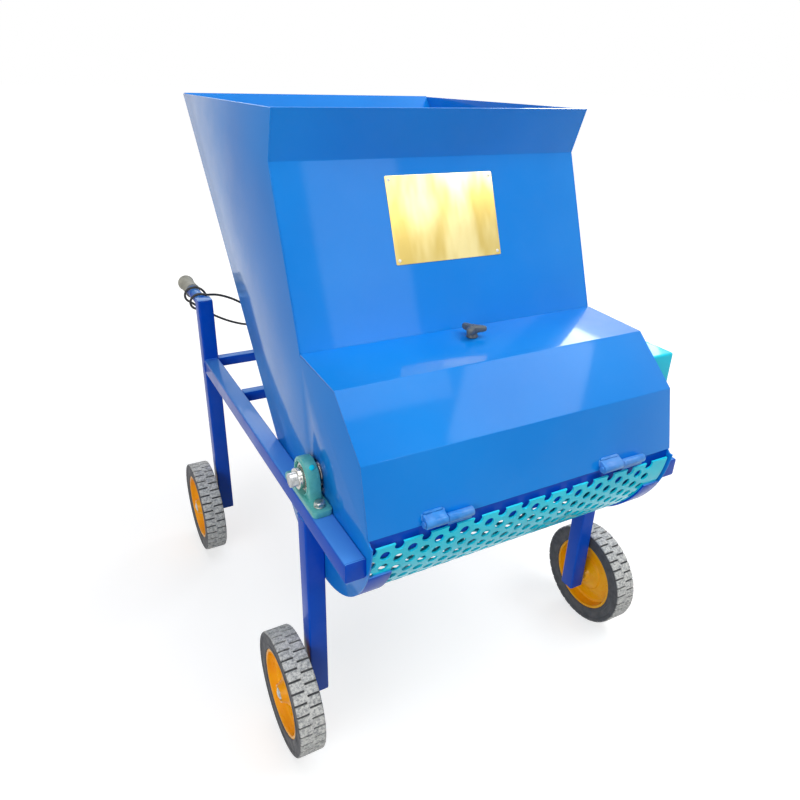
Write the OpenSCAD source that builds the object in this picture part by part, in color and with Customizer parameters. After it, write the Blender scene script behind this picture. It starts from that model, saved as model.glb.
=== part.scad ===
// Forage chopper with a bale hopper, a hammer rotor and a half-round screen.
// Millimetres. +X is to the right seen from the front, +Y to the rear, +Z up.
// The origin is on the ground, under the middle of the machine's length.

/* [Body] */
// Width over the two side plates
body_w = 700; // [690:5:710]
// Thickness of the body sheet
sheet_t = 3; // [2:0.5:4]
// Height of the hopper rim above the ground
rim_h = 1290; // [1280:5:1320]
// Length of the mouth, front to rear, at the rim
mouth_l = 678; // [660:2:690]
// Height of the flared lip
lip_h = 90; // [70:5:100]
// How far the lip flares to the front
lip_flare = 31; // [20:1:40]

/* [Rotor] */
// Outer radius of the screen about the shaft
screen_r = 232; // [228:1:234]
// Radius that the hammer tips sweep
sweep_r = 198; // [185:1:200]
// Radius of the circle of hammer pins
pin_circle_r = 105; // [100:1:108]
// Diameter of the shaft in its bearings
journal_d = 30; // [25:5:30]
// Number of rotor discs
disc_count = 7; // [5:1:7]
// Diameter of the pulley on the rotor
rotor_pulley_d = 180; // [165:5:185]
// Diameter of the pulley on the motor
motor_pulley_d = 125; // [112:1:130]

/* [Screen holes] */
// Diameter of a hole
hole_d = 20; // [12:1:20]
// Distance between holes along a row
hole_pitch = 53; // [50:1:54]
// Distance between rows, along the arc
row_pitch = 15.3; // [15:0.1:15.4]

/* [Frame] */
// Outer width of the square tube
tube_w = 40; // [38:1:42]
// Wall of the square tube
tube_t = 3; // [2:0.5:4]
// Height of the top face of the side rails
rail_top = 618; // [614:1:620]
// Height of the rear posts
post_h = 788; // [782:1:794]

/* [Wheels] */
// Diameter of a wheel over its tread
wheel_d = 268; // [260:2:270]
// Width of a wheel
wheel_w = 57; // [50:1:60]
// Blocks in each of the two rows of tread
tread_blocks = 36; // [20:2:40]

/* [Hidden] */
$fn = 48;

// Places across the machine
half_w = body_w / 2;
inner_x = half_w - sheet_t;
rail_x = half_w + tube_w / 2;
rail_out = half_w + tube_w;

// Places along it
rail_front = -592;
leg_y = -384;
rotor_y = -375;
motor_y = 253;
post_y = 366;
rear_leg_y = post_y + tube_w / 2;
mouth_rear = 464;
mouth_front = mouth_rear - mouth_l;

// Heights
axle_z = wheel_d / 2;
leg_bottom = axle_z - 17;
rail_bottom = rail_top - tube_w;
bearing_h = 43;
rotor_z = rail_top + bearing_h;
motor_plate_t = 8;
motor_seat = rail_top + motor_plate_t;
motor_z = motor_seat + 100;
pipe_z = post_h - 16;

// Clearances: a running fit and a hole for a bolt
running = 0.08;
bolt_gap = 0.6;

// Points about the rotor: angle 0 is to the front and 90 is down
function turned(r, a) = [rotor_y - r * cos(a), rotor_z - r * sin(a)];
function arc_angle(s) = s / screen_r * 180 / PI;

// Directions and lists
function unit(v) = v / norm(v);
function side(a, b) = let (u = unit(b - a)) [u[1], -u[0]];
function reversed(p) = [for (i = [len(p) - 1:-1:0]) p[i]];

// The mitre at b between the edges a-b and b-c
function corner(a, b, c) = let (m = side(a, b), n = side(b, c)) (m + n) / (1 + m * n);

// An open line and a closed outline, moved sideways by d
function moved(p, d) = let (n = len(p) - 1) [for (i = [0:n]) p[i] + d * (i == 0
  ? side(p[0], p[1]) : i == n ? side(p[n - 1], p[n]) : corner(p[i - 1], p[i], p[i + 1]))];
function inset(p, d) = let (n = len(p))
  [for (i = [0:n - 1]) p[i] + d * corner(p[(i + n - 1) % n], p[i], p[(i + 1) % n])];

// A folded sheet of thickness t beside a line
function folded(p, t) = concat(p, reversed(moved(p, t)));

// An outline in (y, z) carried along X
module across(x0, x1) {
  rotate([90, 0, 90]) translate([0, 0, x0]) linear_extrude(x1 - x0) children();
}

// A round bar along X
module bar_x(x0, x1, r, y, z) {
  translate([x0, y, z]) rotate([0, 90, 0]) cylinder(r = r, h = x1 - x0);
}

// A round tube along X
module ring_x(x0, x1, r_out, r_in, y, z) {
  difference() {
    bar_x(x0, x1, r_out, y, z);
    bar_x(x0 - 1, x1 + 1, r_in, y, z);
  }
}

// A box between two corners
module block(low, high) {
  translate(low) cube(high - low);
}

// A hexagon bar of a given width across its flats
module hexagon(flats, h) {
  cylinder(d = flats / cos(30), h = h, $fn = 6);
}

// The same piece on the right and on the left
module both_sides() {
  children();
  mirror([1, 0, 0]) children();
}

// Hex bolts: M12 at the bearings, motor plate and motor feet, M8 at the guard
bolt_r = 6;
bolt_nut_h = 10;
bolt_end = 4;
washer_r = 11;
washer_t = 2.5;
guard_bolt_r = 4;

module hex_bolt(x, y, seat, under) {
  low = under - washer_t - bolt_nut_h;
  translate([x, y, 0]) {
    translate([0, 0, seat]) cylinder(r = washer_r, h = washer_t);
    translate([0, 0, seat + washer_t]) hexagon(19, 7.5);
    translate([0, 0, low - bolt_end]) cylinder(r = bolt_r, h = seat + washer_t + 1 - low + bolt_end);
    translate([0, 0, under - washer_t]) cylinder(r = washer_r, h = washer_t);
    translate([0, 0, low]) hexagon(19, bolt_nut_h);
  }
}

module bolt_hole(x, y, z, h) {
  translate([x, y, z - 1]) cylinder(r = bolt_r + bolt_gap, h = h + 2);
}

module hex_bolts() {
  color("silver") {
    for (x = [-rail_x, rail_x], y = bearing_bolt_y)
      hex_bolt(x, y, rail_top + housing_base, rail_bottom);
    for (x = plate_bolt_x, y = angle_y)
      hex_bolt(x, y + angle_bolt, motor_seat, rail_top - angle_t);
    for (x = foot_x, y = foot_y) hex_bolt(x, y, motor_seat + foot_t, rail_top);
    for (p = guard_tabs) translate([rail_out + guard_tab_t, p[0], p[1]]) rotate([0, 90, 0]) {
      hexagon(13, 5.5);
      translate([0, 0, -14]) cylinder(r = guard_bolt_r, h = 15);
    }
  }
}

// Side rails of square tube, with holes for the bearings and, on the right, the guard
module side_rail(x) {
  difference() {
    block([x - tube_w / 2, rail_front + tube_t, rail_bottom], [x + tube_w / 2, post_y, rail_top]);
    block([x - tube_w / 2 + tube_t, rail_front, rail_bottom + tube_t],
      [x + tube_w / 2 - tube_t, post_y + 1, rail_top - tube_t]);
    for (y = bearing_bolt_y) bolt_hole(x, y, rail_bottom, tube_w);
    if (x > 0) for (p = guard_tabs)
      bar_x(rail_out - tube_t - 1, rail_out + 1, guard_bolt_r + bolt_gap / 2, p[0], p[1]);
  }
}

module left_rail() {
  color("mediumblue") side_rail(-rail_x);
}

module right_rail() {
  color("mediumblue") side_rail(rail_x);
}

// Uprights of square tube, each with its axle hole
module upright(x, y, top) {
  hollow = tube_w / 2 - tube_t;
  difference() {
    block([x - tube_w / 2, y - tube_w / 2, leg_bottom + tube_t],
      [x + tube_w / 2, y + tube_w / 2, top]);
    block([x - hollow, y - hollow, leg_bottom], [x + hollow, y + hollow, top + 1]);
    translate([x, y, axle_z]) rotate([0, sign(x) * 90, 0])
      cylinder(r = axle_r + bolt_gap / 2, h = tube_w);
  }
}

module front_legs() {
  color("mediumblue") for (x = [-rail_x, rail_x]) upright(x, leg_y, rail_bottom);
}

module rear_posts() {
  color("mediumblue") for (x = [-rail_x, rail_x]) upright(x, rear_leg_y, post_h - tube_t);
}

module tube_caps() {
  h = tube_w / 2;
  color("mediumblue") for (x = [-rail_x, rail_x]) {
    block([x - h, rail_front, rail_bottom], [x + h, rail_front + tube_t, rail_top]);
    block([x - h, rear_leg_y - h, post_h - tube_t], [x + h, rear_leg_y + h, post_h]);
    for (y = [leg_y, rear_leg_y])
      block([x - h, y - h, leg_bottom], [x + h, y + h, leg_bottom + tube_t]);
  }
}

// Two angle bars across the rear carry the motor plate
angle_w = 25;
angle_t = 3;
angle_bolt = 14.5;
angle_y = [116, post_y];

module motor_rails() {
  color("mediumblue") difference() {
    for (y = angle_y) {
      block([-half_w, y, rail_top - angle_w], [half_w, y + angle_t, rail_top]);
      block([-half_w, y, rail_top - angle_t], [half_w, y + angle_w, rail_top]);
    }
    for (x = plate_bolt_x, y = angle_y) bolt_hole(x, y + angle_bolt, rail_top - angle_t, angle_t);
  }
}

// Outer line of the body: front wall down to the joint, and the hood's three panels
lip_foot = [mouth_front + lip_flare, rim_h - lip_h];
wall_foot = [-306.5, 875.8];
flange_front = [-342, 874];
hood_joint = [-305, 880];
hood_line = [hood_joint, [-465, 873], [-568, 783], [-599, 657]];
hood_gap = 1;
rear_foot = [-145, 607];
plate_r = screen_r + 4;
plate_step = 3.2;

// The straight part ends in two corners that lie inside the round part
module side_outline() {
  polygon(concat([[mouth_rear, rim_h], [mouth_front, rim_h], lip_foot, hood_joint],
    moved(hood_line, -(sheet_t + hood_gap)), [turned(plate_r - 1.5, plate_step + 1.3),
      rear_foot + 12 * unit(rear_foot - [mouth_rear, rim_h])]));
  intersection() {
    translate([rotor_y, rotor_z]) circle(r = plate_r, $fn = 96);
    translate([rotor_y - plate_r, rotor_z - plate_r])
      square([2 * plate_r, plate_r * (1 - sin(plate_step))]);
  }
}

module side_plate() {
  color("royalblue") across(inner_x, half_w) difference() {
    side_outline();
    translate([rotor_y, rotor_z]) circle(r = core_r + 7.5);
  }
}

module left_side_plate() {
  mirror([1, 0, 0]) side_plate();
}

module right_side_plate() {
  side_plate();
}

module hopper_rear_wall() {
  color("royalblue") across(-inner_x, inner_x)
    polygon(folded([rear_foot, [mouth_rear, rim_h]], -sheet_t));
}

// The front wall ends in a flange under the hood, where the latch holds
module hopper_front_wall() {
  color("royalblue") across(-inner_x, inner_x)
    polygon(folded([[mouth_front, rim_h], lip_foot, wall_foot, flange_front], -sheet_t));
}

// Bar behind the top edge of the screen
bar_y = [-596, -591];
bar_z = [612, 655];

module front_bar() {
  color("mediumblue") block([-inner_x, bar_y[0], bar_z[0]], [inner_x, bar_y[1], bar_z[1]]);
}

// Bare nameplate on the front wall, with a rivet in each corner
nameplate_size = [250, 171];
nameplate_t = 1;
nameplate_low = 143;
nameplate_lift = 0.02;
wall_dir = unit(lip_foot - wall_foot);

module on_front_wall(x, along, lift) {
  translate([x, wall_foot[0] + along * wall_dir[0] - lift * wall_dir[1],
    wall_foot[1] + along * wall_dir[1] + lift * wall_dir[0]])
    rotate([atan2(wall_dir[1], wall_dir[0]), 0, 0]) children();
}

module nameplate() {
  color("gold") on_front_wall(-nameplate_size[0] / 2, nameplate_low, nameplate_lift)
    cube([nameplate_size[0], nameplate_size[1], nameplate_t]);
}

module nameplate_rivets() {
  color("white") for (x = [-1, 1], s = [8, nameplate_size[1] - 8])
    on_front_wall(x * (nameplate_size[0] / 2 - 8), nameplate_low + s, nameplate_t + nameplate_lift)
      cylinder(r = 3, h = 1.2, $fn = 24);
}

// Screen: a half round folded in narrow flats, two rows of holes to each flat. It was cut
// from a perforated sheet, so the left edge runs through the first hole of every other row.
screen_t = 4;
screen_x = [1.5 - inner_x, inner_x - 7];
screen_start = 19.5;
first_row = 25.5;
row_count = 42;
holes_in_row = [13, 12];
first_hole_x = [-347, -320.5];
flat_edges = [for (k = [0:row_count / 2]) arc_angle(screen_start + 2 * k * row_pitch)];

module screen_hole(x, a) {
  translate([x, rotor_y, rotor_z]) rotate([90 + a, 0, 0]) translate([0, 0, screen_r - 12])
    cylinder(d = hole_d, h = 20, $fn = 24);
}

module screen() {
  color("deepskyblue") difference() {
    across(screen_x[0], screen_x[1]) polygon(concat(
      [for (a = flat_edges) turned(screen_r, a)],
      [for (a = reversed(flat_edges)) turned(screen_r - screen_t, a)]));
    for (k = [0:row_count - 1], i = [0:holes_in_row[k % 2] - 1])
      screen_hole(first_hole_x[k % 2] + i * hole_pitch, arc_angle(first_row + k * row_pitch));
  }
}

// Curved strips that hold the screen's ends against the side plates
holder_w = 45;

module screen_holders() {
  color("mediumblue") both_sides() across(inner_x - holder_w, inner_x) intersection() {
    difference() {
      translate([rotor_y, rotor_z]) circle(r = plate_r, $fn = 96);
      translate([rotor_y, rotor_z]) circle(r = screen_r, $fn = 96);
    }
    polygon(concat([[rotor_y, rotor_z]], [for (a = [21.7:46.7:162]) turned(2 * plate_r, a)]));
  }
}

// Shaft bearings on the side rails
housing_w = 39;
housing_l = 160;
housing_base = 13;
dome_r = 41;
dome_w = 24;
insert_r = 31;
bearing_bolt_y = [rotor_y - 60, rotor_y + 60];

module bearing_housing() {
  color("seagreen") difference() {
    union() {
      translate([rail_x - housing_w / 2, rotor_y - housing_l / 2, rail_top])
        cube([housing_w, housing_l, housing_base]);
      across(rail_x - dome_w / 2, rail_x + dome_w / 2) {
        translate([rotor_y, rotor_z]) circle(r = dome_r, $fn = 96);
        polygon([[rotor_y - 47, rail_top], [rotor_y + 47, rail_top],
          [rotor_y + dome_r, rotor_z], [rotor_y - dome_r, rotor_z]]);
      }
    }
    bar_x(rail_x - housing_w, rail_x + housing_w, insert_r, rotor_y, rotor_z);
    for (y = bearing_bolt_y) bolt_hole(rail_x, y, rail_top, housing_base);
  }
}

module left_bearing_housing() {
  mirror([1, 0, 0]) bearing_housing();
}

module right_bearing_housing() {
  bearing_housing();
}

module bearing_outer_rings() {
  color("silver") both_sides()
    ring_x(rail_x - 10, rail_x + 10, insert_r, 21, rotor_y, rotor_z);
}

module bearing_inner_rings() {
  color("gainsboro") both_sides()
    ring_x(rail_x - 16, rail_x + 22, 20.5, journal_d / 2, rotor_y, rotor_z);
}

// Rotor: shaft, discs and hammer pins
core_r = 22.5;
stub_r = 14;
stub_x = [-rail_x - 36, -rail_x - 22.5];
disc_t = 8;
disc_r = 135;
disc_span = 624;
disc_pitch = disc_span / (disc_count - 1);
pin_r = 8;
pin_angles = [45, 135, 225, 315];

module rotor_shaft() {
  color("gainsboro") {
    bar_x(stub_x[0], stub_x[1], stub_r, rotor_y, rotor_z);
    bar_x(stub_x[1], pulley_x + pulley_w + 2, journal_d / 2, rotor_y, rotor_z);
    bar_x(-half_w, half_w, core_r, rotor_y, rotor_z);
  }
}

module rotor_discs() {
  color("gray") for (i = [0:disc_count - 1]) let (x = i * disc_pitch - disc_span / 2) difference() {
    bar_x(x - disc_t / 2, x + disc_t / 2, disc_r, rotor_y, rotor_z);
    bar_x(-half_w, half_w, core_r, rotor_y, rotor_z);
    for (a = pin_angles) let (p = turned(pin_circle_r, a)) bar_x(-half_w, half_w, pin_r, p[0], p[1]);
  }
}

module hammer_pins() {
  end = disc_span / 2 + 12;
  color("darkgray") for (a = pin_angles) let (p = turned(pin_circle_r, a)) {
    bar_x(-end, end, pin_r, p[0], p[1]);
    for (x = [-end, end - 5]) bar_x(x, x + 5, 12, p[0], p[1]);
  }
}

// A row of hammers hangs from its pin: in each bay a bush with two blades
bush_r = 13;
bush_w = disc_pitch - disc_t - 1;
blade_t = 6;
blade_w = 50;
blade_top = 18;
blade_low = sweep_r - pin_circle_r - 4;

module hammer_row(a, shift) {
  p = turned(pin_circle_r, a);
  color("dimgray") for (i = [0:disc_count - 2])
    let (mid = (i + 0.5) * disc_pitch - disc_span / 2) difference() {
      union() {
        bar_x(mid - bush_w / 2, mid + bush_w / 2, bush_r, p[0], p[1]);
        for (x = [mid - 24 + shift, mid + 24 + shift])
          block([x - blade_t / 2, p[0] - blade_w / 2, p[1] - blade_low],
            [x + blade_t / 2, p[0] + blade_w / 2, p[1] + blade_top]);
      }
      bar_x(mid - bush_w, mid + bush_w, pin_r + running, p[0], p[1]);
    }
}

module hammers_front_low() {
  hammer_row(pin_angles[0], 8);
}

module hammers_rear_low() {
  hammer_row(pin_angles[1], -8);
}

module hammers_rear_top() {
  hammer_row(pin_angles[2], 8);
}

module hammers_front_top() {
  hammer_row(pin_angles[3], -8);
}

// Belt drive on the right: two pulleys with two grooves each, and two belts
pulley_x = rail_out + 14;
pulley_w = 35;
belt_x = [pulley_x + 10, pulley_x + 25];
groove_deep = 12.5;

module pulley(r, bore, y, z) {
  grooves = [for (x = belt_x)
    each [[r, x - 6.8], [r - groove_deep, x - 3.6], [r - groove_deep, x + 3.6], [r, x + 6.8]]];
  translate([0, y, z]) rotate([0, 90, 0]) rotate_extrude($fn = 96) polygon(concat(
    [[bore, pulley_x], [r, pulley_x]], grooves, [[r, pulley_x + pulley_w],
    [bore, pulley_x + pulley_w]]));
}

module rotor_pulley() {
  r = rotor_pulley_d / 2;
  color("slategray") difference() {
    pulley(r, journal_d / 2, rotor_y, rotor_z);
    for (x = [pulley_x - 1, pulley_x + pulley_w - 11])
      ring_x(x, x + 12, r - 18, 30, rotor_y, rotor_z);
  }
}

module motor_pulley() {
  color("slategray") pulley(motor_pulley_d / 2, motor_shaft_r, motor_y, motor_z);
}

// Loop round both pulleys, at a distance d outside their rims
drive = [motor_y - rotor_y, motor_z - rotor_z];
drive_lean = atan2(drive[1], drive[0]);
drive_close = asin((rotor_pulley_d - motor_pulley_d) / 2 / norm(drive));
belt_steps = 16;

function belt_arc(mid, r, a0, a1) = [for (i = [0:belt_steps])
  let (a = a0 + (a1 - a0) * i / belt_steps) mid + r * [cos(a), sin(a)]];

module belt_loop(d) {
  top = drive_lean + 90 - drive_close;
  low = drive_lean - 90 + drive_close;
  polygon(concat(belt_arc([rotor_y, rotor_z], rotor_pulley_d / 2 + d, top, low + 360),
    belt_arc([motor_y, motor_z], motor_pulley_d / 2 + d, low, top)));
}

module belt_band(x, w, outer, inner) {
  across(x - w / 2, x + w / 2) difference() {
    belt_loop(outer);
    belt_loop(inner);
  }
}

module drive_belts() {
  color("dimgray") for (x = belt_x) {
    belt_band(x, 12.4, 1, -1);
    belt_band(x, 6.6, 0, -9);
  }
}

// Guard over the belts: a sheet box that is open towards the machine
guard_out = rail_out + 60;
guard_t = 1.5;
guard_line = [[-482, 552], [-482, 813], [338, 813], [338, 636], [-252, 552]];
guard_tab_t = 2;
guard_tabs = [[-430, rail_top - 20], [-30, rail_top - 20], [270, rail_top - 20]];

// Height of the guard's sloping floor
function guard_floor(y) = y < -252 ? 552 : 552 + (y + 252) * 84 / 590;

module belt_guard() {
  color("turquoise") {
    difference() {
      across(rail_out, guard_out) polygon(guard_line);
      across(rail_out - 1, guard_out - guard_t) polygon(inset(guard_line, guard_t));
    }
    for (p = guard_tabs) let (y0 = p[0] - 14, y1 = p[0] + 14, z = [p[1] - 12, p[1] + 12])
      difference() {
        across(rail_out, rail_out + guard_tab_t) polygon([
          [y0, min(z[0], guard_floor(y0) + 0.5)], [y0, max(z[1], guard_floor(y0) + 1)],
          [y1, max(z[1], guard_floor(y1) + 1)], [y1, min(z[0], guard_floor(y1) + 0.5)]]);
        bar_x(rail_out - 1, rail_out + 9, guard_bolt_r + bolt_gap / 2, p[0], p[1]);
      }
  }
}

// Motor, standing on its plate
motor_end = half_w - 4;
plate_bolt_x = [motor_end - 181, motor_end - 15];
foot_x = [motor_end - 168, motor_end - 28];
foot_y = [motor_y - 80, motor_y + 80];
foot_t = 14;
shell_r = 88;
fin_r = 98;
shell_l = 196;
stator_x = [motor_end - 156, motor_end - 36];
motor_core_r = 52;
motor_shaft_r = 14;
fin_angles = [for (a = [-36:12:48]) each [a, 180 - a]];

module motor_plate() {
  color("mediumblue") difference() {
    block([motor_end - 200, angle_y[0] - 6, rail_top], [motor_end, post_y + 30, motor_seat]);
    for (x = plate_bolt_x, y = angle_y) bolt_hole(x, y + angle_bolt, rail_top, motor_plate_t);
    for (x = foot_x, y = foot_y) bolt_hole(x, y, rail_top, motor_plate_t);
  }
}

module motor_body() {
  start = motor_end - shell_l;
  color("steelblue") difference() {
    union() {
      bar_x(start, motor_end, shell_r, motor_y, motor_z);
      for (a = fin_angles) translate([start, motor_y, motor_z]) rotate([a, 0, 0])
        block([4, shell_r - 2, -1.5], [shell_l - 4, fin_r, 1.5]);
      for (x = foot_x) {
        block([x - 20, foot_y[0] - 17, motor_seat], [x + 20, foot_y[1] + 17, motor_seat + foot_t]);
        block([x - 15, motor_y - 55, motor_seat], [x + 15, motor_y + 55, motor_seat + 50]);
      }
    }
    bar_x(start - 1, stator_x[0], shell_r - 8, motor_y, motor_z);
    bar_x(stator_x[0] - 1, stator_x[1] + 1, motor_core_r + 0.6, motor_y, motor_z);
    bar_x(stator_x[1], motor_end + 1, shell_r - 8, motor_y, motor_z);
    for (x = foot_x, y = foot_y) bolt_hole(x, y, motor_seat, foot_t);
  }
}

module motor_end_shields() {
  back = motor_end - shell_l;
  color("steelblue") difference() {
    union() {
      bar_x(motor_end, motor_end + 10, fin_r, motor_y, motor_z);
      bar_x(motor_end, motor_end + 30, 62, motor_y, motor_z);
      bar_x(back - 12, back, fin_r - 2, motor_y, motor_z);
      bar_x(back - 24, back, 30, motor_y, motor_z);
    }
    bar_x(back - 30, motor_end + 40, motor_shaft_r + 0.4, motor_y, motor_z);
    bar_x(motor_end - 1, motor_end + 20, 50, motor_y, motor_z);
  }
}

module motor_fan_cover() {
  start = motor_end - shell_l - 84;
  color("lightslategray") difference() {
    bar_x(start, start + 80, fin_r, motor_y, motor_z);
    bar_x(start + 2, start + 81, fin_r - 2, motor_y, motor_z);
    for (r = [26, 44, 62], a = [0:30:330]) translate([0, motor_y, motor_z])
      rotate([a + r, 0, 0]) bar_x(start - 1, start + 3, 6, r, 0);
  }
}

module motor_shaft() {
  color("gainsboro") {
    bar_x(motor_end - 258, pulley_x + pulley_w + 2, motor_shaft_r, motor_y, motor_z);
    bar_x(stator_x[0], stator_x[1], motor_core_r, motor_y, motor_z);
  }
}

module motor_fan() {
  start = motor_end - 250;
  color("darkgray") {
    ring_x(start, start + 22, 22, motor_shaft_r, motor_y, motor_z);
    ring_x(start + 19, start + 22, 82, 20, motor_y, motor_z);
    for (a = [0:45:315]) translate([start, motor_y, motor_z]) rotate([a, 0, 0])
      block([0, 20, -1.5], [21, 82, 1.5]);
  }
}

// Terminal box on the motor, with its lid screws
box_low = [motor_end - 151, motor_y - 48, motor_z + 70];
box_high = [motor_end - 41, motor_y + 48, motor_z + 134];
box_wall = 3;
lid_t = 5;
gland_z = motor_z + 111;
switch_x = motor_end - 96;
switch_stem_r = 5;

module terminal_box() {
  color("dimgray") difference() {
    union() {
      block(box_low, box_high - [0, 0, lid_t]);
      block([box_low[0] - 2, box_low[1] - 2, box_high[2] - lid_t], box_high + [2, 2, 0]);
      for (x = [box_low[0] + 9, box_high[0] - 9], y = [box_low[1] + 9, box_high[1] - 9])
        translate([x, y, box_high[2] - 1]) cylinder(r = 4, h = 3);
    }
    block(box_low + [box_wall, box_wall, -1], box_high - [box_wall, box_wall, lid_t + box_wall]);
    bar_x(box_low[0] - 9, box_high[0] + 9, shell_r, motor_y, motor_z);
    translate([switch_x, box_high[1] - box_wall - 1, gland_z]) rotate([-90, 0, 0])
      cylinder(r = switch_stem_r + running, h = box_wall + 2);
  }
}

module switch_knob() {
  color("crimson") translate([switch_x, box_high[1], gland_z]) rotate([-90, 0, 0]) {
    translate([0, 0, -box_wall]) cylinder(r = switch_stem_r, h = box_wall + 1);
    translate([0, 0, 0.5]) cylinder(r = 15, h = 5);
    translate([-4, -14, 5]) cube([8, 28, 14]);
  }
}

// Cable gland with its tapered strain relief
gland_l = 45;

module cable_gland() {
  color("dimgray") translate([box_low[0], motor_y, gland_z]) rotate([0, -90, 0]) {
    cylinder(r = 8, h = 4);
    translate([0, 0, 2]) hexagon(22, 8);
    translate([0, 0, 10]) cylinder(r1 = 10.5, r2 = 8.5, h = 8);
    translate([0, 0, 18]) cylinder(r1 = 6.5, r2 = cable_r + 1, h = gland_l - 18);
  }
}

// Handle pipes, level, running back from the posts, and their grips
pipe_r = 16;
pipe_end = 612;
grip_start = 520;
grip_end = 616;

module handle_pipes() {
  start = post_y + tube_w;
  color("cornflowerblue") for (x = [-rail_x, rail_x]) translate([x, start, pipe_z])
    rotate([-90, 0, 0]) difference() {
      cylinder(r = pipe_r, h = pipe_end - start);
      translate([0, 0, -1]) cylinder(r = pipe_r - 2.5, h = pipe_end - start + 2);
    }
}

module handle_grips() {
  color("darkkhaki") for (x = [-rail_x, rail_x]) translate([x, 0, pipe_z]) rotate([-90, 0, 0])
    rotate_extrude() polygon([[pipe_r, grip_start], [20, grip_start], [21, grip_start + 2],
      [20, grip_start + 6], [20, grip_end - 12], [22.5, grip_end - 8], [23, grip_end - 5],
      [22, grip_end - 1.5], [19, grip_end], [0, grip_end], [0, pipe_end], [pipe_r, pipe_end]]);
}

// Power cable. It leaves the gland, winds on the left handle, sags across to the right
// one, and its spare length hangs there in a coil.
cable_r = 3.25;
loop_rings = 24;
loop_sides = 6;
run_sides = 8;
pipe_top = pipe_z + pipe_r + cable_r + 0.4;
winding_r = 26;
winding_mid = [-rail_x, 518, pipe_top - winding_r];
coil_r = 36;
coil_mid = [rail_x, 447, pipe_top - coil_r];

// A helix about Y from angle a0 down to a1, with a straight end of one diameter each way
function helix(mid, r, step, a0, a1) = let (n = round(loop_rings * (a0 - a1) / 360))
  [for (i = [0:n]) let (t = (a0 - a1) * i / n)
    mid + [r * cos(a0 - t), step * t / 360, r * sin(a0 - t)]];
function with_ends(p) = let (n = len(p) - 1) concat([p[0] - 2 * cable_r * unit(p[1] - p[0])], p,
  [p[n] + 2 * cable_r * unit(p[n] - p[n - 1])]);

winding_path = with_ends(helix(winding_mid, winding_r, -70, 235 + 360, 75));
coil_path = with_ends(helix(coil_mid, coil_r, 7.2, 125 + 6 * 360, 0));

gland_exit = [box_low[0] - gland_l, motor_y, gland_z];
run_in = concat([gland_exit, gland_exit - [14, 0, 0]], [[98, 257, 836], [61, 268, 831],
  [26, 287, 818], [-6, 312, 797], [-37, 341, 770], [-66, 371, 741], [-96, 402, 713],
  [-127, 433, 690], [-159, 463, 671], [-193, 489, 659], [-227, 508, 655], [-256, 519, 661],
  [-287, 524, 674], [-319, 524, 693], [-350, 524, 716]], [winding_path[0]]);
run_across = concat([winding_path[len(winding_path) - 1]], [[-325, 416, 785], [-290, 418, 771],
  [-256, 420, 750], [-224, 419, 725], [-193, 418, 699], [-160, 417, 676], [-124, 416, 659],
  [-85, 416, 649], [-45, 416, 645], [-5, 416, 646], [35, 417, 650], [75, 418, 658],
  [114, 420, 669], [152, 423, 683], [189, 427, 698], [225, 431, 715], [260, 436, 732],
  [294, 441, 750], [326, 445, 769]], [coil_path[0]]);
tail = concat([coil_path[len(coil_path) - 1]], [[405, 493, 715], [404, 493, 680], [404, 493, 650]]);
plug_top = tail[len(tail) - 1];

// A smooth line through the points of a run, with one ring between each pair
function before(p, i) = i == 0 ? 2 * p[0] - p[1] : p[i - 1];
function after(p, i) = i == len(p) - 2 ? 2 * p[i + 1] - p[i] : p[i + 2];
function smooth(p) = [for (i = [0:len(p) - 2])
  each [p[i], (9 * (p[i] + p[i + 1]) - before(p, i) - after(p, i)) / 16], p[len(p) - 1]];

// A tube swept along a line of points
function heading(p, i) = unit(p[min(i + 1, len(p) - 1)] - p[max(i - 1, 0)]);
module tube(p, sides) {
  n = len(p);
  points = [for (i = [0:n - 1])
    let (t = heading(p, i), u = unit(cross(t, [0, 1, 0])), v = cross(t, u))
    for (k = [0:sides - 1]) p[i] + cable_r * (cos(360 * k / sides) * u + sin(360 * k / sides) * v)];
  walls = [for (i = [0:n - 2], k = [0:sides - 1])
    let (a = i * sides + k, b = i * sides + (k + 1) % sides)
    each [[a, b, a + sides], [b, b + sides, a + sides]]];
  ends = [for (k = [1:sides - 2])
    each [[0, k + 1, k], [(n - 1) * sides, (n - 1) * sides + k, (n - 1) * sides + k + 1]]];
  polyhedron(points = points, faces = concat(walls, ends));
}

// Least gap between the tube's own turns, more than half a turn apart
function own_gap(p) = min([for (i = [0:len(p) - 1], j = [i + loop_rings / 2:1:len(p) - 1])
  norm(p[i] - p[j])]) - 2 * cable_r;
function run_length(p) = len(p) < 2 ? 0
  : [for (i = 1, s = norm(p[1] - p[0]); i < len(p); i = i + 1,
      s = i < len(p) ? s + norm(p[i] - p[i - 1]) : s) s][len(p) - 2];

echo(winding_gap = own_gap(winding_path), coil_gap = own_gap(coil_path));
echo(cable_length = [for (p = [smooth(run_in), winding_path, smooth(run_across), coil_path,
  smooth(tail)]) run_length(p)]);

module cable_runs() {
  color("dimgray") for (run = [run_in, run_across, tail]) tube(smooth(run), run_sides);
}

module cable_winding() {
  color("dimgray") tube(winding_path, loop_sides);
}

module cable_coil() {
  color("dimgray") tube(coil_path, loop_sides);
}

// Plug hanging at the cable's end, its two pins down
module plug() {
  color("dimgray") translate(plug_top) rotate([180, 0, 0]) {
    cylinder(r1 = cable_r + 1, r2 = 7, h = 24);
    translate([0, 0, 24]) cylinder(r1 = 12, r2 = 18, h = 10);
    translate([0, 0, 34]) cylinder(r = 18, h = 20);
    for (x = [-9.5, 9.5]) translate([x, 0, 53]) cylinder(r = 2.4, h = 20, $fn = 24);
  }
}

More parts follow.
